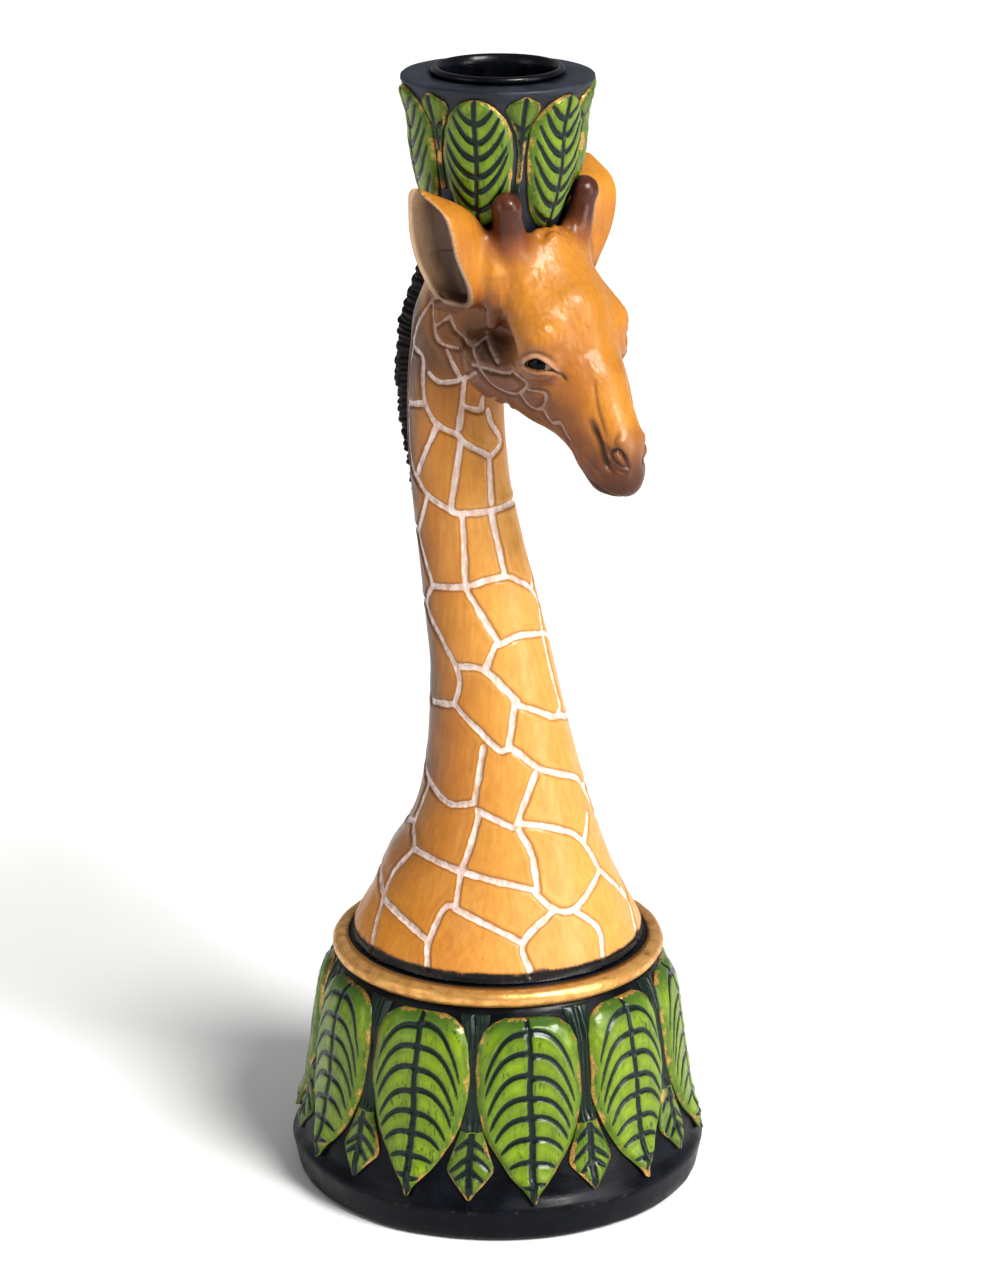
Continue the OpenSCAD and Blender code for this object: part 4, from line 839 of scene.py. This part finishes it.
def leaves(name, count, az0, z0, z1, wt, radius, t, veins, mat, node, nu, nv, seed, tip=0.0, tone_and_shade=0.0, lift=0.0, plain=2.0):
    Vs, Fs, vd, ed, tn = [], [], [], [], []; base = 0
    wt = np.array(wt); H = z1 - z0
    for k in range(count):
        rg = np.random.default_rng(seed * 100 + k)
        az = math.radians(az0 + 360 / count * k + rg.uniform(-.5, .5)); dz = rg.uniform(-.35, .35); sc = rg.uniform(.975, 1.01)
        q = np.linspace(0, 1, nv + 1)[:, None] * np.ones((1, nu + 1)); u = np.linspace(-1, 1, nu + 1)[None, :] * np.ones((nv + 1, 1))
        u = np.sign(u) * (np.abs(u) * .6 + .4 * np.sin(np.abs(u) * np.pi / 2))       # finer toward the rim
        w = np.interp(q, wt[:, 0], wt[:, 1]) * sc
        P1 = np.stack([q.ravel() * H, np.sign(u).ravel() * 5 + k * 17.0, 0 * q.ravel()], 1)
        w = w * (1 + .030 * vnoise(P1, 5.0, seed).reshape(q.shape)) + .10 * vnoise(P1, 1.6, seed + 1).reshape(q.shape)
        lean = rg.uniform(-.6, .6)
        x = w * u + lean * (1 - q)**2; y = z0 + dz + H * q
        e = np.minimum(w * (1 - np.abs(u)), np.minimum(q, 1 - q) * H * .9 + .3)
        rise = t * (.30 + .70 * (1 - np.exp(-(e / .85)**1.3))) + t * .30 * (1 - np.abs(u)**2) * np.clip(e / 2, 0, 1)
        rise = rise + lift * np.clip(1 - q / .22, 0, 1)**1.6
        if tip == 0: rise = rise * np.where(q > plain, 1 - .62 * sstep(plain, plain + .06, q), 1)
        rise = np.where((q > .97), np.minimum(rise, t * (.35 + (1 - q) * 16)), rise) if tip == 0 else rise
        # veins
        d = np.abs(x - lean * (1 - q)**2 + .18 * np.sin(y * .35 + k)) - ((.46 if tip == 0 else .30) * (.55 + .6 * np.where(tip == 0, 1 - q, q)) + (.10 if tip == 0 else .0))
        depth = np.where(d < 9, .40, 0) * np.exp(-(np.maximum(d + .25, 0) / .42)**2)
        vv = d.copy(); lipm = np.exp(-((d - .75) / .40)**2)
        for i, (y0, bend, power, reach) in enumerate(veins):
            for sg in (-1, 1):
                m = (u * sg > 0); ax = np.abs(x - lean * (1 - q)**2)
                yc = y0 + dz + rg.uniform(-.45, .45) + bend * ax**power * rg.uniform(.9, 1.1)
                sl = bend * power * np.maximum(ax, .01)**(power - 1)
                frac = ax / np.maximum(w, .2); tap = np.clip((reach - frac) / reach, 0, 1)
                dd = np.abs(y - yc) / np.sqrt(1 + sl**2) - .50 * tap**.55 + np.maximum(frac - reach, 0) * 8
                dd = np.where(m, dd, 9)
                depth = np.maximum(depth, .34 * np.exp(-(np.maximum(dd + .2, 0) / .36)**2) * np.clip(tap * 5, 0, 1))
                lipm = np.maximum(lipm, np.exp(-((dd - .65) / .38)**2) * .8 * (dd < 8)); vv = np.minimum(vv, dd)
        fadee = np.clip(e / 1.0, 0, 1); rise = rise - depth * fadee + .12 * lipm * fadee
        P2 = np.stack([x.ravel(), y.ravel(), np.full(x.size, k * 31.0)], 1)
        rise = rise + (.06 * vnoise(P2, 1.3, seed + 3) + .09 * vnoise(P2, 4.0, seed + 4)).reshape(x.shape) * fadee
        R = radius(y) + .12 + rise; a = az + x / R
        front = np.stack([R * np.sin(a), -R * np.cos(a), y], 2).reshape(-1, 3)
        # buried rim
        Rb = radius(y[:, [0, -1]]) - .7; ab = az + x[:, [0, -1]] / (R[:, [0, -1]])
        rim = np.stack([Rb * np.sin(ab), -Rb * np.cos(ab), y[:, [0, -1]]], 2).reshape(-1, 3)
        n = nu + 1; nf = (nv + 1) * n
        jj, ii = np.meshgrid(np.arange(nv), np.arange(nu), indexing="ij"); a0 = (jj * n + ii).ravel()
        Fs += (np.stack([a0, a0 + 1, a0 + n + 1, a0 + n], 1) + base).tolist()
        for j in range(nv):
            L0, L1, B0, B1 = j * n, (j + 1) * n, nf + 2 * j, nf + 2 * (j + 1)
            Fs += [[base + L1, base + B1, base + B0, base + L0], [base + L0 + nu, base + B0 + 1, base + B1 + 1, base + L1 + nu],
                   [base + B0, base + B1, base + B1 + 1, base + B0 + 1]]
        Fs.append([base + i for i in range(nu, -1, -1)] + [base + nf, base + nf + 1])
        Fs.append([base + nv * n + i for i in range(n)] + [base + nf + 2 * nv + 1, base + nf + 2 * nv])
        Vs += [front, rim]; base += nf + 2 * (nv + 1)
        if tip == 0: vv = np.where(q > plain, 6.0, vv)
        vd += [vv.ravel(), np.full(2 * (nv + 1), 5.0)]
        eo = np.where(q > plain, 6.0, e); ed += [eo.ravel(), np.full(2 * (nv + 1), -2.0)]
        # random tone, plus painted shade: the foot leaves darken toward their tops under the gold ring
        tt = tone_and_shade + .10 * rg.uniform(0, 1) + (.45 * sstep(.86, 1.0, q) if tip == 0 else 0) + .35 * np.clip((.16 - (q if tip else 1 - q)) / .16, 0, 1) * (0 if tip else 1)
        # painted shade: the strips of the small foot leaves between the large ones take the full deep tone
        tt = np.where(q > plain, 1.0, tt * np.ones_like(q)) if tip == 0 else np.where(q < -plain, 1.0, tt * np.ones_like(q))
        tn += [np.clip(tt * np.ones_like(q), 0, 1).ravel(), np.full(2 * (nv + 1), .8)]
    ob = make_obj(name, np.concatenate(Vs) * MM, Fs, {"vd": np.concatenate(vd), "ed": np.concatenate(ed), "tone_and_shade": np.concatenate(tn)},
                  mat=mat, repl=(node,))
    fix_normals(ob); return ob

FV = [(47.0 - 4.75 * i, -.0105, 3, .84) for i in range(8)]
leaves("leaves_foot_large", 10, 0, 9.6, 49.4, FOOT_W, bell_r, 1.35, FV, M_LEAF, "base_leaves_large", 56, 100, 3, lift=1.0)
leaves("leaves_foot_small", 10, 18, 10.2, 50.0, [[a * 19.8 / 39.8, b] for a, b in FTIP_W[:-1]] + [[.5, 1.9], [.75, 1.5], [.9, 2.6], [1, 3.2]], bell_r, .85,
       [(19.5, -.55, 1.25, .9), (16.6, -.55, 1.25, .85), (23.5, -.7, 1.2, .9)], M_LEAF_SHADED, "base_leaves_small", 30, 100, 5, tone_and_shade=.12, lift=.5, plain=.36)
CV = [(219.0 + 3.75 * i, .17 if i < 5 else .22, 2, .86) for i in range(7)]
leaves("leaves_cup_large", 6, 0, 217.5, 246.7, CUP_W, cup_r, 1.35, CV, M_LEAF, "cup_leaves_large", 48, 84, 7, tip=1.0)
leaves("leaves_cup_small", 6, 30, 226, 246.9, [[0, .5], [.38, .6], [.60, 1.3], [.74, 2.6], [.86, 3.9], [.92, 3.4], [1, .4]], cup_r, .95,
       [(239.5, .65, 1.2, .9), (236.6, .65, 1.2, .9)], M_LEAF_SHADED, "cup_leaves_small", 26, 60, 9, tip=1.0, tone_and_shade=.2)

# ---------------------------------------------------------------- turned parts
def lathe(name, prof, n, mat, node, rough=.10, seed=1, cell=9.0, wear=None):
    """closed profile of (r, z) turned about the axis, with the unevenness of hand work"""
    P = [prof[0]]
    for a, b in zip(prof, prof[1:] + prof[:1]):
        L = math.hypot(b[0] - a[0], b[1] - a[1]); m = max(1, int(L / 1.6))
        for i in range(1, m + 1): P.append((a[0] + (b[0] - a[0]) * i / m, a[1] + (b[1] - a[1]) * i / m))
    P = np.array(P[:-1]); m = len(P); a = np.arange(n) / n * 2 * np.pi
    R = P[:, 0][:, None]; Z = P[:, 1][:, None] * np.ones((1, n))
    X = np.stack([R * np.cos(a), R * np.sin(a), Z], 2).reshape(-1, 3)
    nx = np.roll(P, -1, 0) - np.roll(P, 1, 0); nrm = np.stack([nx[:, 1], -nx[:, 0]], 1); nrm /= np.maximum(np.linalg.norm(nrm, axis=1, keepdims=True), 1e-9)
    area = .5 * np.sum(P[:, 0] * np.roll(P[:, 1], -1) - np.roll(P[:, 0], -1) * P[:, 1])
    if area < 0: nrm = -nrm
    d = rough * (vnoise(X, cell, seed) + .4 * vnoise(X, cell / 3, seed + 1)).reshape(m, n)
    Rr = R + nrm[:, :1] * d; Zz = Z + nrm[:, 1:] * d * (np.abs(Z - .3) > .2)
    V = np.stack([Rr * np.cos(a), Rr * np.sin(a), Zz], 2).reshape(-1, 3)
    j, i = np.meshgrid(np.arange(m), np.arange(n), indexing="ij"); j2, i2 = (j + 1) % m, (i + 1) % n
    F = np.stack([j * n + i, j * n + i2, j2 * n + i2, j2 * n + i], 2).reshape(-1, 4)
    w = np.zeros(len(V)) if wear is None else wear(np.repeat(P[:, 0], n), np.repeat(P[:, 1], n))
    ob = make_obj(name, V * MM, F, {"wear": w}, mat=mat, repl=(node,)); fix_normals(ob)
    return ob

def arc(cx, cz, r, a0, a1, n=8): return [(cx + r * math.cos(math.radians(a0 + (a1 - a0) * i / n)), cz + r * math.sin(math.radians(a0 + (a1 - a0) * i / n))) for i in range(n + 1)]
foot = [(2.6, 32.1), (2.6, 9), (6.5, 9), (6.5, 1.5), (40.3, 1.5), (40.3, .35), (43.6, .3), (44.3, .3), (44.8, .6), (45.1, 1.2), (45.6, 3.6), (46.1, 6.2), (46.3, 7.0), (46.25, 7.6),
        (46.0, 8.1)] + [(r, z) for z, r in BELL] + [(34.9, 51.25), (33.2, 51.3), (33.1, 55.1), (10.15, 55.1), (10.15, 32.1)]
lathe("foot_turned", foot, 288, M_BLACK, "base_body", .13, 21, 11, wear=lambda r, z: np.exp(-((z - 7.3) / .8)**2) * (r > 45))
ring = [(33.3, 51.05), (34.4, 51.02)] + arc(34.9, 53.07, 2.02, -84, 88, 14) + [(33.35, 55.09)]
lathe("ring_gold", ring, 288, M_GOLD, "gold_ring", .10, 23, 6)
cup = [(4.15, 213.02), (11.5, 213.02)] + [(r, z) for z, r in CUP[:-1]] + [(20.45, 248.0), (20.15, 248.28), (16, 248.34), (12.95, 248.3), (12.95, 227.1), (4.15, 227.1), (4.15, 223)]
cup = [(4.15, 213.02), (11.5, 213.02)] + [(r, z) for z, r in CUP[:-1]] + [(20.45, 248.0), (20.15, 248.28), (16, 248.34), (12.95, 248.3), (12.95, 227.1), (4.15, 227.1)]
lathe("cup_turned", cup, 224, M_CUP, "candle_cup", .10, 25, 8, wear=lambda r, z: np.exp(-((z - 248) / .5)**2) * (r > 19.6))
liner = [(.02, 227.2), (12.8, 227.2), (12.8, 248.34), (13.4, 248.34), (13.95, 248.6)] + arc(13.25, 249.12, .86, -10, 150, 10) + [(12.15, 248.9), (12.0, 248.2), (12.0, 228.9), (11.4, 228.15), (.02, 228.0)]
ln = lathe("liner_lip", liner, 192, M_LINER, "socket_liner", .04, 27, 5)

# ---------------------------------------------------------------- eyes
def build_eye(sg, name, node):
    n, m = 48, 30; c = np.array([22.6, 9.9, 191.9]); d = np.array([.36, .93, .02]); d /= np.linalg.norm(d)
    e1 = np.cross(d, [0, 0, 1.0]); e1 /= np.linalg.norm(e1); e2 = np.cross(e1, d)
    V = []; iris = []
    for j in range(m + 1):
        p = np.pi * j / m
        for i in range(n):
            q = 2 * np.pi * i / n; v = c + 3.43 * (np.cos(p) * d + np.sin(p) * (np.cos(q) * e1 * 1.02 + np.sin(q) * e2))
            V.append(v); iris.append(2.8 * np.sin(p) if p < np.pi / 2 else 2.8)
    V = np.array(V); V += .012 * vnoise(V, 1.2, 61)[:, None] * d
    eu = eye_open(V[:, 0], V[:, 1], V[:, 2])[0]; iris = np.sqrt((eu + .75)**2 + (V[:, 2] - 192.0)**2).tolist()
    V[:, 1] *= sg
    F = [[j * n + i, j * n + (i + 1) % n, (j + 1) * n + (i + 1) % n, (j + 1) * n + i] for j in range(m) for i in range(n)]
    ob = make_obj(name, to_xyz(V), F, {"iris": iris}, mat=M_EYE, repl=(node,))
    import bmesh
    bm = bmesh.new(); bm.from_mesh(ob.data); bmesh.ops.remove_doubles(bm, verts=bm.verts, dist=1e-6)
    bmesh.ops.recalc_face_normals(bm, faces=bm.faces); bm.to_mesh(ob.data); bm.free()
build_eye(1, "eye_right_bead", "eye_right"); build_eye(-1, "eye_left_bead", "eye_left")

# ---------------------------------------------------------------- carried-over parts get their finish
for node, mt in (("base_felt", M_FELT), ("base_screw", M_STEEL), ("head_dowel", M_BEECH), ("cup_dowel", M_BEECH)):
    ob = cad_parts[node]; ob.data.materials.clear(); ob.data.materials.append(mt)

# ---------------------------------------------------------------- floor, light, camera
def plane_obj(name, size, z, mat, n=24):
    g = np.linspace(-size, size, n + 1); X, Y = np.meshgrid(g, g, indexing="ij")
    V = np.stack([X.ravel(), Y.ravel(), np.full(X.size, z)], 1); F = []
    for i in range(n):
        for j in range(n): a = i * (n + 1) + j; F.append([a, a + n + 1, a + n + 2, a + 1])
    me = bpy.data.meshes.new(name); me.from_pydata(V.tolist(), [], F); me.materials.append(mat)
    ob = bpy.data.objects.new(name, me); bpy.context.scene.collection.objects.link(ob); return ob
fm = Mat("pale_floor"); fn = fm.noise(9, 3); fine = fm.noise(160, 3)
M_FLOOR = fm.done(fm.mix(fm.ramp(fn, .3, .7), (.90, .90, .905), (.93, .93, .93)), fm.ramp(fine, .3, .7, .72, .84), spec=.2)
floor = plane_obj("floor", 3.0, -0.0002, M_FLOOR)

world = bpy.data.worlds.new("studio"); bpy.context.scene.world = world; world.use_nodes = True
bg = world.node_tree.nodes["Background"]; bg.inputs[0].default_value = (1.0, 1.0, 1.0, 1); bg.inputs[1].default_value = 0.30

def area(name, loc, target, size, power, col=(1, 1, 1)):
    L = bpy.data.lights.new(name, "AREA"); L.shape = "RECTANGLE"; L.size, L.size_y = size; L.energy = power; L.color = col
    ob = bpy.data.objects.new(name, L); bpy.context.scene.collection.objects.link(ob); ob.location = loc
    ob.rotation_euler = (Vector(target) - Vector(loc)).to_track_quat("-Z", "Y").to_euler(); return ob
CAZ = math.radians(46)
def polar(az_from_cam, dist, h):
    """place a light by its angle to the right of the camera's line"""
    a = CAZ - math.radians(az_from_cam)
    return (-dist * math.sin(a), -dist * math.cos(a), h)
def sun(name, az_from_cam, elev, strength, angle, col=(1, 1, 1)):
    L = bpy.data.lights.new(name, "SUN"); L.energy = strength; L.angle = math.radians(angle); L.color = col
    ob = bpy.data.objects.new(name, L); bpy.context.scene.collection.objects.link(ob)
    p = Vector(polar(az_from_cam, math.cos(math.radians(elev)), math.sin(math.radians(elev))))
    ob.rotation_euler = (-p).to_track_quat("-Z", "Y").to_euler(); ob.location = p * 1.5; return ob
sun("key", 42, 42, 3.35, 24, (1, .985, .96))
area("soft_right", polar(62, 1.3, .35), (0, 0, .13), (.5, .9), 6.0)
area("soft_left", polar(-60, 1.4, .5), (0, 0, .13), (.8, .8), 3.0, (.96, .98, 1))

cam = bpy.data.cameras.new("cam"); cam.lens = 121.13; cam.sensor_width = 36; cam.shift_x = .0016
co = bpy.data.objects.new("cam", cam); bpy.context.scene.collection.objects.link(co)
co.location = (-.891 * math.sin(CAZ), -.891 * math.cos(CAZ), .4215); co.rotation_euler = (math.radians(90 - 18.5), 0, -CAZ)
cam.clip_start = .01; cam.clip_end = 20
bpy.context.scene.camera = co
bpy.context.scene.view_settings.view_transform = "Standard"
bpy.context.scene.view_settings.look = "Medium High Contrast"
